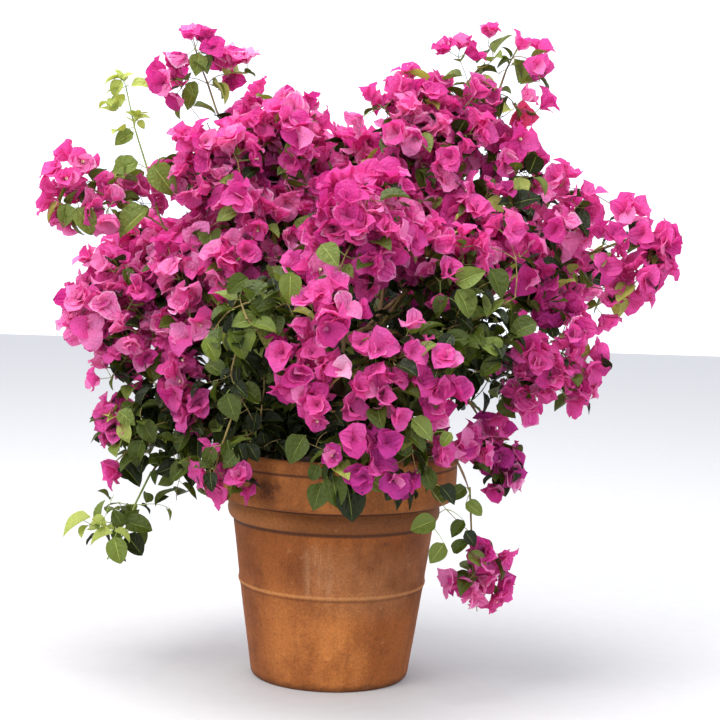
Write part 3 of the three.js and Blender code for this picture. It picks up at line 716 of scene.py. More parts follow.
def grow(mass):
    """The mass's places, the place before each, and its twigs, by the source's rule and then finer."""
    draw = draws_from(mass.seed)
    places = stem_places(mass, draw)
    before = [-1, 0, 1, 2]
    headings = [mass.along.copy() for _ in places]
    twigs = []
    tips = [places[-1]]

    def sprout(tip, fine, heads, tone=None):
        start = nearest_place(places, headings, tip, fine)
        chord = tip - places[start]
        straight = chord.normalized()
        side = headings[start] - straight * headings[start].dot(straight)
        middle = places[start] + chord * 0.5 + side * (BOW * chord.length) + UP * (LIFT * chord.length)
        count = len(places)
        twigs.append(SimpleNamespace(start=start, middle=count, tip=count + 1, heads=heads, tone=tone))
        places.extend([middle, tip])
        before.extend([start, count])
        headings.extend([straight, (tip - middle).normalized()])
        tips.append(tip)

    for x, y, z, heads, *tone in CLUSTERS.get(mass.name, []):
        middle = Vector((x, y, z))
        back = CLUSTER_REACH if heads else 0
        sprout(middle - out_of_crown(middle) * back, True, heads, *tone)
    placed_count = len(twigs)
    by_rule = mass.name not in CLUSTERS or mass.name in STILL_BLOOMING
    for count in range(mass.tips * mass.fineness):
        fine = count >= mass.tips
        blooms = by_rule and (count * GOLDEN) % 1 < mass.bloom
        tip = drawn_tip(mass, tips, HEAD_REACH if blooms else LEAF_REACH, draw)
        if tip is None:
            continue
        heads = 0
        if blooms:
            low, high = FINE_HEADS if fine else CLUSTER_HEADS
            heads = low + int(draw() * (high - low + 1))
        sprout(tip, fine, heads)
    return places, before, headings, twigs, placed_count


def curve_points(start, middle, end, steps):
    """Points along the smooth curve from start through middle to end."""
    control = middle * 2 - (start + end) * 0.5
    points = []
    for step in range(steps + 1):
        share = step / steps
        rest = 1 - share
        points.append(start * rest**2 + control * (2 * rest * share) + end * share**2)
    return points


# Joined meshes


class Pile:
    """Vertices and four-cornered faces gathered for one joined piece."""

    def __init__(self):
        self.vertices = []
        self.faces = []

    def add(self, vertices, faces):
        used, own = np.unique(faces, return_inverse=True)
        self.vertices.append(np.asarray(vertices)[used])
        self.faces.append(own.reshape(faces.shape))


def mesh_piece(name, vertices, faces, material):
    """A smooth mesh object in metres, riding on the one body."""
    mesh = bpy.data.meshes.new(name)
    mesh.vertices.add(len(vertices))
    mesh.vertices.foreach_set("co", (np.asarray(vertices) * MM).astype(np.float32).ravel())
    mesh.loops.add(faces.size)
    mesh.loops.foreach_set("vertex_index", faces.astype(np.int32).ravel())
    mesh.polygons.add(len(faces))
    mesh.polygons.foreach_set("loop_start", np.arange(0, faces.size, 4, dtype=np.int32))
    mesh.polygons.foreach_set("use_smooth", np.ones(len(faces), dtype=bool))
    mesh.update(calc_edges=True)
    mesh.validate()
    mesh.materials.append(material)
    piece = bpy.data.objects.new(name, mesh)
    bpy.context.scene.collection.objects.link(piece)
    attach(piece, "root")
    return piece


def pieces_from(name, pile, material):
    """The gathered parts joined into as few pieces as the limit allows."""
    groups = [[]]
    count = 0
    for vertices, faces in zip(pile.vertices, pile.faces):
        if count + 2 * len(faces) > LIMIT:
            groups.append([])
            count = 0
        groups[-1].append((vertices, faces))
        count += 2 * len(faces)
    pieces = []
    for index, group in enumerate(groups):
        if not group:
            continue
        vertices = np.concatenate([each[0] for each in group])
        starts = np.cumsum([0] + [len(each[0]) for each in group])
        faces = np.concatenate([each[1] + start for each, start in zip(group, starts)])
        pieces.append(mesh_piece(f"{name}_{index + 1}", vertices, faces, material))
    return pieces


def ring_faces(steps, sides):
    """The faces between rings of points, from each ring to the next."""
    faces = []
    for step in range(steps):
        for side in range(sides):
            first = step * sides + side
            second = step * sides + (side + 1) % sides
            faces.append((first, second, second + sides, first + sides))
    return np.array(faces)


def ring_place(radius, height, side, sides):
    angle = FULL_TURN * side / sides
    return Vector((radius * math.cos(angle), radius * math.sin(angle), height))


def tube(points, radii, sides):
    """Rings round a line of points."""
    heading = (points[1] - points[0]).normalized()
    across = heading.orthogonal().normalized()
    rings = []
    for index, point in enumerate(points):
        ahead = points[min(index + 1, len(points) - 1)] - points[max(index - 1, 0)]
        ahead.normalize()
        across = (across - ahead * across.dot(ahead)).normalized()
        other = ahead.cross(across)
        for side in range(sides):
            angle = FULL_TURN * side / sides
            rings.append(point + (across * math.cos(angle) + other * math.sin(angle)) * radii[index])
    return np.array(rings), ring_faces(len(points) - 1, sides)


def grid_faces(rows, sides, wanted):
    """The faces of a blade's grid of points whose row and column are wanted."""
    columns = len(sides) - 1
    faces = []
    for row in range(rows):
        for column in range(columns):
            if wanted(row, column):
                corner = row * (columns + 1) + column
                faces.append((corner, corner + 1, corner + columns + 2, corner + columns + 1))
    return np.array(faces)


def blade(width, rows, sides, form):
    """A leaf or bract one long from its root: X outward, Y across, Z along the axis it opens from."""
    fullest = form.root_power / (form.root_power + form.tip_power)
    peak = fullest**form.root_power * (1 - fullest) ** form.tip_power
    points = []
    place = np.zeros(3)
    for row in range(rows + 1):
        share = row / rows
        spread = max(share**form.root_power * max(1 - share, 0) ** form.tip_power / peak, 0.03)
        angle = math.radians(form.open_from + (form.open_to - form.open_from) * share**form.curl_power)
        ahead = np.array([math.sin(angle), 0, math.cos(angle)])
        inner = np.array([-math.cos(angle), 0, math.sin(angle)])
        if row:
            place = place + ahead / rows
        for side in sides:
            across = side * spread * width / 2
            wave = math.sin(FULL_TURN * form.waves * share + form.phase + (math.pi if side > 0 else 0))
            rise = form.cup * abs(side) ** 1.5 + form.fold * abs(side)
            rise = rise * spread * width / 2 + form.ruffle * abs(side) ** 2 * wave * spread
            rise -= form.pleat * math.cos(PLEATS * math.pi * side) * spread
            back = -form.lobe * abs(side) ** 2 * (1 - share) ** 3
            points.append(place + np.array([0, across, 0]) + inner * rise + ahead * back)
    return np.array(points)


def form_from(draw, column):
    """The form of one blade, drawn from a column of ranges."""
    parts = {part: between(draw, *ranges[column]) for part, ranges in FORMS.items()}
    return SimpleNamespace(**parts, pleat=0)


def bract_kinds():
    """A set of bracts, each papery and ruffled in its own way."""
    draw = draws_from(BRACT_SEED)
    kinds = []
    for number in range(BRACT_KINDS):
        form = form_from(draw, 0)
        form.pleat = between(draw, *PLEAT_DEPTHS) * VEIN_GROOVE
        sides = VEINED_SIDES if number < VEINED_KINDS else PLAIN_SIDES
        points = blade(between(draw, *BRACT_WIDTHS), BRACT_ROWS, sides, form)
        for point in points:
            point += (np.array([draw(), draw(), draw()]) - 0.5) * CRINKLE
        kinds.append(points)
    return kinds


def leaf_kinds():
    """A set of leaves, folded along the midrib and drooping at the tip."""
    draw = draws_from(LEAF_SEED)
    kinds = []
    for _ in range(LEAF_KINDS):
        form = form_from(draw, 1)
        kinds.append(blade(between(draw, *LEAF_WIDTHS), LEAF_ROWS, LEAF_SIDES, form))
    return kinds


def turned_to(axis, turn):
    """The turn that brings Z to an axis, after a turn about Z."""
    aim = UP.rotation_difference(axis)
    return (aim @ Quaternion(UP, turn)).to_matrix()


def leaf_turn(along, face):
    """The turn that lays a leaf's length along one direction with its face to another."""
    ahead = along.normalized()
    across = face.cross(ahead).normalized()
    return Matrix((ahead, across, ahead.cross(across))).transposed()


def placed(kind, turn, scale, place):
    return kind @ (np.array(turn) * scale).T + np.array(place)


# Materials


class Look:
    """A material whose colour and relief are worked out by nodes, from places on the object in metres."""

    def __init__(self, name):
        self.material = bpy.data.materials.new(name)
        self.material.use_nodes = True
        self.tree = self.material.node_tree
        self.shader = self.tree.nodes["Principled BSDF"]
        self.place = self.node("TexCoord", "Object", {})

    def put(self, value, socket):
        """Puts another node's output, a screen colour or a plain value into a socket."""
        if isinstance(value, bpy.types.NodeSocket):
            self.tree.links.new(value, socket)
        else:
            socket.default_value = linear(value) if isinstance(value, tuple) else value

    def node(self, kind, output, inputs, **settings):
        """One output of a new node with these settings and inputs."""
        node = self.tree.nodes.new(f"ShaderNode{kind}")
        for name, value in settings.items():
            setattr(node, name, value)
        for name, value in inputs.items():
            self.put(value, node.inputs[name])
        return node.outputs[output]

    def shade(self, inputs):
        for name, value in inputs.items():
            self.put(value, self.shader.inputs[name])

    def noise(self, scale, detail=3.0, roughness=0.5, squash=None):
        place = self.place
        if squash:
            place = self.node("Mapping", "Vector", {"Vector": place, "Scale": Vector(squash)})
        inputs = {"Vector": place, "Scale": scale, "Detail": detail, "Roughness": roughness}
        return self.node("TexNoise", "Fac", inputs)

    def maths(self, operation, first, second):
        return self.node("Math", "Value", {0: first, 1: second}, operation=operation)

    def product(self, first, *others):
        for other in others:
            first = self.maths("MULTIPLY", first, other)
        return first

    def ranged(self, value, low, high, to_low=0.0, to_high=1.0):
        """A value's place between low and high, smoothed and held inside the new range."""
        inputs = {"Value": value, "From Min": low, "From Max": high, "To Min": to_low, "To Max": to_high}
        return self.node("MapRange", "Result", inputs, interpolation_type="SMOOTHSTEP")

    def window(self, value, low, high, soft):
        """One between low and high, fading to nothing over a soft edge on each side."""
        rise = self.ranged(value, low - soft, low + soft)
        return self.product(rise, self.ranged(value, high - soft, high + soft, 1.0, 0.0))

    def mixed(self, share, first, second, blend="MIX"):
        inputs = {"Factor": share, "A": first, "B": second}
        return self.node("Mix", "Result", inputs, data_type="RGBA", blend_type=blend)

    def bump(self, height, strength, distance):
        normal = self.node("Bump", "Normal", {"Height": height, "Strength": strength, "Distance": distance})
        self.shade({"Normal": normal})
        return normal


def thin_material(name, colour, glow, through, roughness, grain, sheen=0.0):
    """A thin plain-coloured sheet that lets some light through, with a fine grain."""
    look = Look(name)
    look.shade({"Base Color": colour, "Roughness": roughness, "Specular IOR Level": 0.3})
    look.shade({"Sheen Weight": sheen, "Sheen Roughness": 0.4})
    normal = look.bump(look.noise(grain, 2.0), 1.0, 0.004)
    back = look.node("BsdfTranslucent", "BSDF", {"Color": glow, "Normal": normal})
    both = look.node("MixShader", "Shader", {"Fac": through, 1: look.shader.outputs["BSDF"], 2: back})
    look.put(both, look.tree.nodes["Material Output"].inputs["Surface"])
    return look.material


def woody_material(name, first, second, grain):
    """A rough stem whose colour wanders between two."""
    look = Look(name)
    shade = look.noise(grain, 4.0, squash=(1, 1, 0.3))
    colour = look.mixed(look.ranged(shade, 0.35, 0.65), first, second)
    look.shade({"Base Color": colour, "Roughness": 0.85, "Specular IOR Level": 0.25})
    look.bump(look.noise(grain * 3, 5.0, squash=(1, 1, 0.25)), 0.6, 0.002)
    return look.material


def terracotta_material():
    """Weathered clay: brighter below, browner above, painted lighter across the lower body's middle with
    painted shade on its sides, with pale salt streaks, dirt at the foot and painted shadow lines in the
    grooves.
    """
    look = Look("terracotta_weathered")
    across = look.node("SeparateXYZ", "X", {"Vector": look.place})
    height = look.node("SeparateXYZ", "Z", {"Vector": look.place})
    broad = look.noise(7.0, 4.0, 0.6)
    patch = look.noise(17.0, 5.0, 0.65)
    fine = look.noise(60.0, 6.0, 0.65)
    speck = look.noise(330.0, 3.0, 0.6)
    streak = look.noise(26.0, 4.0, 0.6, (1, 1, 0.12))
    runs = look.noise(75.0, 4.0, 0.6, (1, 1, 0.1))
    rings = look.noise(130.0, squash=(0.05, 0.05, 1))

    def band(name):
        return look.window(height, *RISES[name])

    def mark(name, grain, *span):
        return look.product(look.window(across, *WIDTHS[name]), band(name), look.ranged(grain, *span))

    mottled = look.maths("ADD", look.product(patch, 0.6), look.product(streak, 0.4))
    blotch = look.ranged(mottled, 0.38, 0.62)
    clays = [look.mixed(blotch, *CLAY[name]) for name in ("lit_middle", "shaded_sides", "upper")]
    # Painted light across the lower body's middle, painted shade on its sides
    lower = look.mixed(look.window(across, *WIDTHS["lit_middle"]), clays[1], clays[0])
    rise = look.maths("ADD", height, look.product(broad, 0.08))
    body = look.mixed(look.ranged(rise, 0.12, 0.24), lower, clays[2])
    collar = look.mixed(look.ranged(mottled, 0.36, 0.64), *CLAY["lip"])
    colour = look.mixed(look.ranged(height, 0.270, 0.276), body, collar)

    grime = look.maths("SUBTRACT", height, look.product(fine, 0.02))
    dirt_and_shadow = look.product(look.ranged(grime, -0.006, 0.004, 1.0, 0.0), 0.5)
    dirt_and_shadow = look.maths("MAXIMUM", dirt_and_shadow, look.product(look.ranged(fine, 0.40, 0.28), 0.35))
    # Painted shadow lines in the grooves under the overhangs, added to the dirt
    for low, high, soft, strength in GROOVE_SHADOWS:
        dirt_and_shadow = look.maths("MAXIMUM", dirt_and_shadow, look.product(look.window(height, low, high, soft), strength))

    layers = (
        (look.product(band("roll"), 0.75), look.mixed(look.ranged(across, -0.1, -0.03), *CLAY["roll"])),
        (look.product(band("ridge"), 0.6), CLAY["ridge"]),
        (mark("film", patch, 0.3, 0.6, 0.1, 0.36), CLAY["film"]),
        (mark("salt", runs, 0.42, 0.68, 0.05, 0.5), CLAY["salt"]),
        (look.product(look.ranged(fine, 0.6, 0.78), 0.3), CLAY["bloom"]),
        (look.product(mark("stain", fine, 0.36, 0.58), 0.9), CLAY["stain"]),
        (dirt_and_shadow, CLAY["dirt_and_shadow"]),
    )
    for share, tint in layers:
        colour = look.mixed(share, colour, tint)
    grain = look.mixed(look.ranged(speck, 0.3, 0.7), *CLAY["grain"])
    colour = look.mixed(1.0, colour, grain, "MULTIPLY")

    rough = look.ranged(broad, 0.3, 0.7, 0.72, 0.9)
    look.shade({"Base Color": colour, "Roughness": rough, "Specular IOR Level": 0.3})
    look.bump(look.maths("ADD", fine, look.product(rings, 0.8)), 0.5, 0.0012)
    return look.material


def soil_material():
    look = Look("potting_mix")
    crumbs = look.noise(120.0, 6.0, 0.7)
    colour = look.mixed(look.ranged(crumbs, 0.35, 0.7), (48, 34, 24), (92, 70, 50))
    look.shade({"Base Color": colour, "Roughness": 0.95})
    look.bump(crumbs, 1.0, 0.004)
    return look.material


def floor_material():
    look = Look("pale_floor")
    colour = look.mixed(look.noise(40.0, 4.0), (182, 180, 177), (189, 187, 184))
    look.shade({"Base Color": colour, "Roughness": 0.8})
    return look.material


# Pot and soil


def pot_profile():
    """The half profile in small steps, its corners worn round, its underside flat."""
    points = []
    for (r1, z1), (r2, z2) in zip(POT_PROFILE, POT_PROFILE[1:]):
        count = max(1, round(math.hypot(r2 - r1, z2 - z1) / PROFILE_STEP))
        points += [(r1 + (r2 - r1) * i / count, z1 + (z2 - z1) * i / count) for i in range(count)]
    points.append(POT_PROFILE[-1])
    profile = np.array(points, dtype=float)
    flat = profile[:, 1] == 0
    for _ in range(WEAR_ROUNDS):
        beside = profile[:-2] * CORNER_WEAR, profile[2:] * CORNER_WEAR
        smooth = profile.copy()
        smooth[1:-1] = beside[0] + profile[1:-1] * (1 - 2 * CORNER_WEAR) + beside[1]
        smooth[flat] = profile[flat]
        profile = smooth
    profile[:, 1] = np.maximum(profile[:, 1], 0)
    return profile


def worn_radius(place, radius, height):
    """The radius less slow and quick dents, with chips along the lip and the collar's edge."""
    slow = noise.noise(place * 0.012)
    quick = noise.noise(place * 0.11)
    chip = max(noise.noise(place * 0.035 + Vector((7, 3, 1))) - 0.45, 0)
    edge = 1 if height > POT_HEIGHT - 8 or abs(height - COLLAR_BOTTOM) < 5 else 0.15
    return radius - abs(slow) * 1.0 - abs(quick) * 0.35 - chip * edge * 9


def pot_mesh(material):
    profile = pot_profile()
    vertices = []
    for radius, height in profile:
        for side in range(POT_SIDES):
            place = ring_place(radius, height, side, POT_SIDES)
            if height > 0 and radius > 1:
                worn = worn_radius(place, radius, height)
                place.x *= worn / radius
                place.y *= worn / radius
            vertices.append(place)
    faces = ring_faces(len(profile) - 1, POT_SIDES)
    return mesh_piece("pot_clay", np.array(vertices), faces, material)


def soil_mesh(material):
    vertices = []
    for ring in range(SOIL_RINGS + 1):
        radius = max(SOIL_RADIUS * ring / SOIL_RINGS, 0.5)
        for side in range(SOIL_SIDES):
            place = ring_place(radius, 0, side, SOIL_SIDES)
            clod = noise.noise(place * 0.05) * 4 + noise.noise(place * 0.16) * 2.5
            level = SOIL_LEVEL - 3 + clod * min(1, (SOIL_RINGS - ring) / 3)
            vertices.append((place.x, place.y, level))
    faces = ring_faces(SOIL_RINGS, SOIL_SIDES)[:, [0, 3, 2, 1]]
    return mesh_piece("soil_top", np.array(vertices), faces, material)


# Trunk and boughs


def bark_piece(name, nodes, levels, relief, material):
    """The solids' own shapes rounded off, with the bark's ridges raised on them."""
    vertices = []
    faces = []
    total = 0
    for node in nodes:
        copy = bpy.data.objects.new("rounding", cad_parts[node].data.copy())
        bpy.context.scene.collection.objects.link(copy)
        copy.modifiers.new("weld", "WELD").merge_threshold = WELD_DISTANCE
        copy.modifiers.new("rounding", "SUBSURF").levels = levels
        graph = bpy.context.evaluated_depsgraph_get()
        mesh = bpy.data.meshes.new_from_object(copy.evaluated_get(graph))
        count = len(mesh.vertices)
        places = np.zeros(count * 3, np.float32)
        normals = np.zeros(count * 3, np.float32)
        mesh.vertices.foreach_get("co", places)
        mesh.vertices.foreach_get("normal", normals)
        places = places.reshape(-1, 3) / MM
        normals = normals.reshape(-1, 3)
        inset = BOUGH_INSET.get(node, BOUGH_INSET["other"]) if node != "trunk" else 0
        for index in range(count):
            x, y, z = places[index]
            ridge = noise.noise(Vector((x * 0.16, y * 0.16, z * 0.035)))
            knot = noise.noise(Vector((x * 0.05, y * 0.05, z * 0.05)))
            places[index] += normals[index] * (relief * (0.35 + ridge + 0.5 * knot) - inset)
        corners = np.zeros(len(mesh.loops), np.int32)
        mesh.loops.foreach_get("vertex_index", corners)
        vertices.append(places)
        faces.append(corners.reshape(-1, 4) + total)
        total += count
        bpy.data.objects.remove(copy)
        bpy.data.meshes.remove(mesh)
    piece = mesh_piece(name, np.concatenate(vertices), np.concatenate(faces), material)
    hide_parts(*nodes)


# Foliage


def descendants(places, before, twigs):
    """How many tips hang on each place."""
    load = [0] * len(places)
    for place in [len(STEM_SHARES) - 1] + [twig.tip for twig in twigs]:
        while place >= 0:
            load[place] += 1
            place = before[place]
    return load


def twig_radius(load):
    return TWIG_TIP * max(load, 1) ** PIPE_POWER


def add_flower(place, axis, piles):
    """A slim cream tube with a small open end."""
    end = place + axis * FLOWER_LENGTH
    points = [place, place + axis * FLOWER_MIDDLE, end, end + axis]
    piles.flowers.add(*tube(points, FLOWER_RADII, 5))


def add_head(place, root, axis, tone, draw, kinds, piles):
    """One head of three bracts, or twice three, round its flowers on a short stalk."""
    turn = between(draw, 0, FULL_TURN)
    scale = BRACT_LENGTH * between(draw, *HEAD_SIZES)
    whorls = 2 if draw() < DOUBLE_SHARE else 1
    for index in range(3 * whorls):
        number = int(draw() * BRACT_KINDS) % BRACT_KINDS
        inner = index >= 3
        swing = turn + FULL_TURN * index / 3 + (math.pi / 3 if inner else 0)
        tilt = axis.copy()
        tilt.rotate(Quaternion(axis.orthogonal().normalized(), between(draw, -BRACT_SWING, BRACT_SWING)))
        own = turned_to(tilt, swing + between(draw, -BRACT_SWING, BRACT_SWING))
        own_scale = scale * between(draw, *BRACT_SIZES) * (INNER_SIZE if inner else 1)
        own_tone = pick(draw, BLOSSOM_TONES) if draw() < OTHER_BRACT_SHARE else tone
        points = placed(kinds[number], own, own_scale, place + axis * (INNER_RAISE if inner else 0))
        if number < VEINED_KINDS:
            # Paler rims on a share of the bracts: painted highlight
            rim_highlight_tone = RIM_HIGHLIGHT_TONES[own_tone] if draw() < RIM_HIGHLIGHT_SHARE else own_tone
            piles.blossom[own_tone].add(points, BRACT_BODY)
            piles.blossom[rim_highlight_tone].add(points, BRACT_EDGE)
            piles.blossom[LINE_TONES[own_tone]].add(points, BRACT_LINES)
        else:
            piles.blossom[own_tone].add(points, PLAIN_BRACT)
    if draw() < FLOWER_SHARE:
        add_flower(place, axis, piles)
    control = root.lerp(place, 0.55) + axis * 1.5
    piles.green.add(*tube(curve_points(root, control, place, 2), [0.7, 0.6, 0.75], 3))


def add_cluster(tip, heading, heads, tone, change, draw, kinds, piles):
    """Heads packed side by side over the end of a twig."""
    axis = (heading * 0.35 + out_of_crown(tip) * 0.8).normalized()
    tone = pick(draw, BLOSSOM_TONES) if tone is None else tone
    if change and tone == change[0] and (change[2] == 1 or draw() < change[2]):
        tone = change[1]
    turn = between(draw, 0, FULL_TURN)
    for index in range(heads):
        tilt = between(draw, *(SIDE_TILTS if index else TOP_TILTS))
        own = axis.copy()
        own.rotate(Quaternion(axis.orthogonal().normalized(), math.radians(tilt)))
        own.rotate(Quaternion(axis, turn + index * SPIRAL_STEP))
        place = tip + own * STALK * between(draw, *STALK_LENGTHS)
        own_tone = pick(draw, BLOSSOM_TONES) if draw() < OTHER_HEAD_SHARE else tone
        add_head(place, tip, own, own_tone, draw, kinds, piles)


def lay_leaf(base, along, face, size, tone, draw, kinds, piles):
    kind = kinds[int(draw() * LEAF_KINDS) % LEAF_KINDS]
    points = placed(kind, leaf_turn(along, face), size, base)
    piles.leaves[tone].add(points, LEAF_BODY)
    piles.leaves[RIB_TONES[tone]].add(points, LEAF_RIB)


def add_leaf(mass, root, heading, turn, size, tone, draw, kinds, piles):
    """A leaf set off to one side of its twig on a short stalk, its face up and out."""
    side = heading.cross(UP)
    side = side.normalized() if side.length > 0.01 else Vector((1, 0, 0))
    side.rotate(Quaternion(heading, turn))
    along = heading * 0.5 + side * 0.85
    along.z -= between(draw, 0.05, 0.45)
    along.normalize()
    face = UP + (root - mass.centre).normalized() * between(draw, 0.3, 1.0)
    if abs(face.normalized().dot(along)) > 0.97:
        return
    base = root + along * (size * LEAF_STALK)
    tip = base + along * size
    if divided(tip - mass.centre, mass.half).length > LEAF_SHARE or not clear_of_pot(tip):
        return
    lay_leaf(base, along, face, size, tone, draw, kinds, piles)
    piles.green.add(*tube([root, base], [0.55, 0.5], 3))


def add_shown_leaf(places, base, tip, tone, draw, kinds, piles):
    """A leaf from one place to another, facing forward and up, on a stalk from the nearest twig."""
    root = min(places, key=lambda place: (place - base).length)
    middle = root.lerp(base, 0.5) + UP * (0.1 * (base - root).length)
    piles.green.add(*tube(curve_points(root, middle, base, 3), [1.0, 0.8, 0.6, 0.5], 4))
    forward = 0.3 if tone == "young" else 0.8
    face = Vector((between(draw, -0.3, 0.3), -forward, between(draw, 0.3, 0.9)))
    lay_leaf(base, tip - base, face, (tip - base).length, tone, draw, kinds, piles)


def leaf_look(mass, root, size, tone, draw):
    """A leaf's size and tone as its mass changes them."""
    if mass.name in LIGHT_LEAVED and tone == "dark":
        tone = "fresh"
    if mass.name == "shoot_left":
        rise = (root - mass.centre).dot(mass.along) / mass.depth
        size *= 0.85 - 0.2 * rise
        tone = "young" if rise > 0 or draw() < 0.2 else "fresh"
    elif mass.name == "left_trailing":
        size *= 0.8
    # Inner leaves mostly take the dark tone: painted shade inside the bush
    elif mass.name in INNER_NAMES and draw() < INNER_SHADE_SHARE:
        tone = "dark"
    return size, tone


def dress_twig(mass, twig, points, heading, apart, draw, bracts, leaves, piles):
    """The cluster at a twig's end and the leaves along it, only near the end of one set apart."""
    blooms = twig.heads > 0
    tip = points[-1]
    if blooms:
        add_cluster(tip, heading, twig.heads, twig.tone, TONE_CHANGES.get(mass.name), draw, bracts, piles)
    tone = pick(draw, LEAF_TONES)
    if twig.tone is not None and not blooms:
        tone = twig.tone
    spacing = YOUNG_SPACING if mass.name == "shoot_left" else LEAF_SPACING
    count = max(2, round((tip - points[0]).length / spacing))
    turn = between(draw, 0, FULL_TURN)
    for index in range(count):
        share = (index + 0.6) / count
        if blooms and share > 0.9 or apart and count - index > APART_LEAVES:
            continue
        root = points[0].lerp(tip, share)
        root = root.lerp(points[min(TWIG_STEPS, round(share * TWIG_STEPS))], 0.5)
        size = LEAF_LENGTH * between(draw, *LEAF_SIZES) * (1 - 0.3 * share)
        own_tone = pick(draw, LEAF_TONES) if draw() < OTHER_LEAF_SHARE else tone
        size, own_tone = leaf_look(mass, root, size, own_tone, draw)
        add_leaf(mass, root, heading, turn + index * SPIRAL_STEP, size, own_tone, draw, leaves, piles)


def dress(mass, bracts, leaves, piles):
    """Twigs, leaves and bracts of one mass."""
    places, before, headings, twigs, placed_count = grow(mass)
    load = descendants(places, before, twigs)
    draw = draws_from(mass.seed + DRESS_SEED)
    new_growth = mass.name in NEW_GROWTH
    wood = piles.green if new_growth else piles.twigs
    thickest = SHOOT_RADIUS if new_growth else STEM_RADIUS
    stem_count = len(STEM_SHARES)
    stem = [places[0] - mass.along * STEM_OVERLAP] + places[:stem_count]
    radii = [min(twig_radius(each), thickest) for each in [load[0]] + load[:stem_count]]
    wood.add(*tube(stem, radii, STEM_SIDES))
    for first, last, tone in SHOWN_LEAVES.get(mass.name, []):
        add_shown_leaf(places, Vector(first), Vector(last), tone, draw, leaves, piles)
    for number, twig in enumerate(twigs):
        points = curve_points(places[twig.start], places[twig.middle], places[twig.tip], TWIG_STEPS)
        first = min(twig_radius(load[twig.middle]), twig_radius(load[twig.start]))
        last = twig_radius(load[twig.tip])
        radii = [first + (last - first) * step / TWIG_STEPS for step in range(TWIG_STEPS + 1)]
        wood.add(*tube(points, radii, TWIG_SIDES))
        apart = number < placed_count and not new_growth
        dress_twig(mass, twig, points, headings[twig.tip], apart, draw, bracts, leaves, piles)


def is_vein(row, column):
    return column in BRACT_VEINS and row < BRACT_ROWS - 1


def is_edge(row, column):
    outer = row > 0 and column in (0, len(VEINED_SIDES) - 2)
    return not is_vein(row, column) and (row == BRACT_ROWS - 1 or outer)


def is_body(row, column):
    return not is_vein(row, column) and not is_edge(row, column)


BRACT_LINES = grid_faces(BRACT_ROWS, VEINED_SIDES, is_vein)
BRACT_EDGE = grid_faces(BRACT_ROWS, VEINED_SIDES, is_edge)
BRACT_BODY = grid_faces(BRACT_ROWS, VEINED_SIDES, is_body)
PLAIN_BRACT = grid_faces(BRACT_ROWS, PLAIN_SIDES, lambda row, column: True)
LEAF_RIB = grid_faces(LEAF_ROWS, LEAF_SIDES, lambda row, column: column == MIDRIB)
LEAF_BODY = grid_faces(LEAF_ROWS, LEAF_SIDES, lambda row, column: column != MIDRIB)

masses = [mass_from(row, index) for index, row in enumerate(MASSES)]
add_walls(masses)
masses += [mass_from(row, index + len(MASSES)) for index, row in enumerate(INNER_MASSES)]
piles = SimpleNamespace(
    twigs=Pile(),
    green=Pile(),
    flowers=Pile(),
    blossom={row[0]: Pile() for row in BLOSSOM_TONES},
    leaves={row[0]: Pile() for row in LEAF_TONES},
)
bracts = bract_kinds()
leaves = leaf_kinds()
for mass in masses:
    dress(mass, bracts, leaves, piles)

bark = woody_material("bark", (112, 88, 62), (150, 124, 92), 90.0)
twig_bark = woody_material("twig_bark", (104, 84, 52), (136, 122, 74), 140.0)
green_bark = woody_material("green_shoot", (126, 150, 72), (156, 170, 96), 140.0)

bough_nodes = [name for name in sorted(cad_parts) if name.startswith("bough_")]
foliage_nodes = [name for name in sorted(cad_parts) if name.startswith("foliage_")]
bark_piece("trunk_bark", ["trunk"], 3, 1.1, bark)
bark_piece("bough_bark", bough_nodes, 1, 0.45, bark)

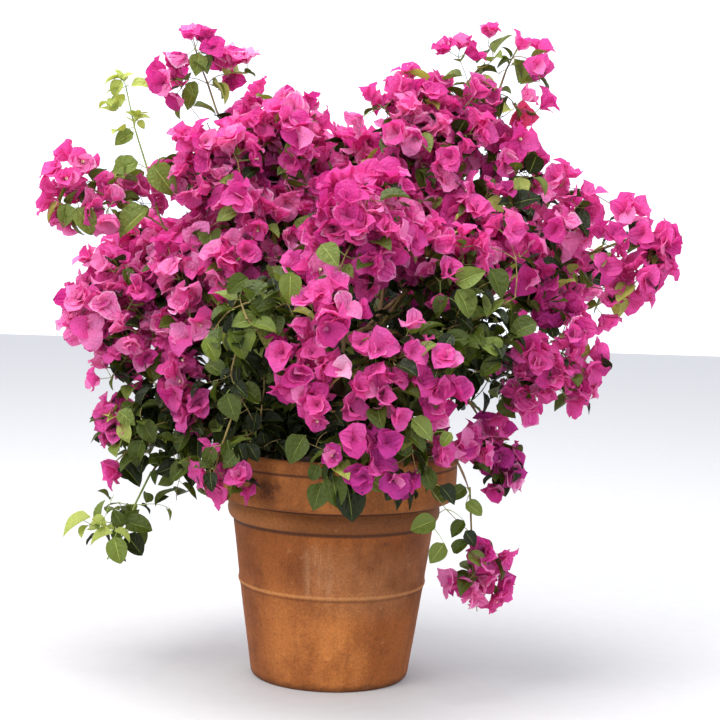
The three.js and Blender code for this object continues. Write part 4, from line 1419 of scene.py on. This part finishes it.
shown = []
for name, colour, _ in BLOSSOM_TONES:
    glow = (min(255, colour[0] * 1.06), colour[1] * 0.9, colour[2] * 0.96)
    material = thin_material(f"bract_{name}", colour, glow, 0.48, 0.62, 240.0, 0.12)
    shown += pieces_from(f"bracts_{name}", piles.blossom[name], material)
for name, colour, _ in LEAF_TONES:
    glow = (colour[0] * 1.2, colour[1] * 1.2, colour[2] * 0.8)
    material = thin_material(f"leaf_{name}", colour, glow, 0.25, 0.48, 180.0)
    shown += pieces_from(f"leaves_{name}", piles.leaves[name], material)
shown += pieces_from("twigs", piles.twigs, twig_bark)
shown += pieces_from("green_stalks", piles.green, green_bark)
cream = thin_material("flower_cream", CREAM, CREAM, 0.2, 0.6, 260.0)
shown += pieces_from("flowers", piles.flowers, cream)
for piece in shown:
    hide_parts(*foliage_nodes)

pot = pot_mesh(terracotta_material())
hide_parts("pot")
soil = soil_mesh(soil_material())
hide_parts("soil")

# Floor, lights and camera
corners = [(x * FLOOR_REACH, y * FLOOR_REACH, 0) for x, y in ((-1, -1), (1, -1), (1, 1), (-1, 1))]
floor_mesh = bpy.data.meshes.new("floor")
floor_mesh.from_pydata(corners, [], [(0, 1, 2, 3)])
floor_mesh.materials.append(floor_material())
floor = bpy.data.objects.new("floor", floor_mesh)
bpy.context.scene.collection.objects.link(floor)

for name, place, aim, size, power, colour in LIGHTS:
    data = bpy.data.lights.new(name, "AREA")
    data.size = size
    data.energy = power
    data.color = colour
    light = bpy.data.objects.new(name, data)
    light.location = place
    light.rotation_mode = "QUATERNION"
    light.rotation_quaternion = (Vector(aim) - Vector(place)).to_track_quat("-Z", "Y")
    bpy.context.scene.collection.objects.link(light)

world = bpy.data.worlds.new("studio")
bpy.context.scene.world = world
world.use_nodes = True
sky = world.node_tree.nodes["Background"]
sky.inputs["Color"].default_value = SKY_COLOUR
sky.inputs["Strength"].default_value = SKY_STRENGTH
bpy.context.scene.view_settings.view_transform = "Standard"

camera_data = bpy.data.cameras.new("camera")
camera_data.lens = CAMERA_LENS
camera_data.sensor_width = SENSOR_WIDTH
camera = bpy.data.objects.new("camera", camera_data)
pitch = Matrix.Rotation(math.radians(90 - CAMERA_DOWN), 4, "X")
roll = Matrix.Rotation(math.radians(CAMERA_ROLL), 4, "Z")
camera.matrix_world = Matrix.Translation(CAMERA_PLACE) @ pitch @ roll
bpy.context.scene.collection.objects.link(camera)
bpy.context.scene.camera = camera
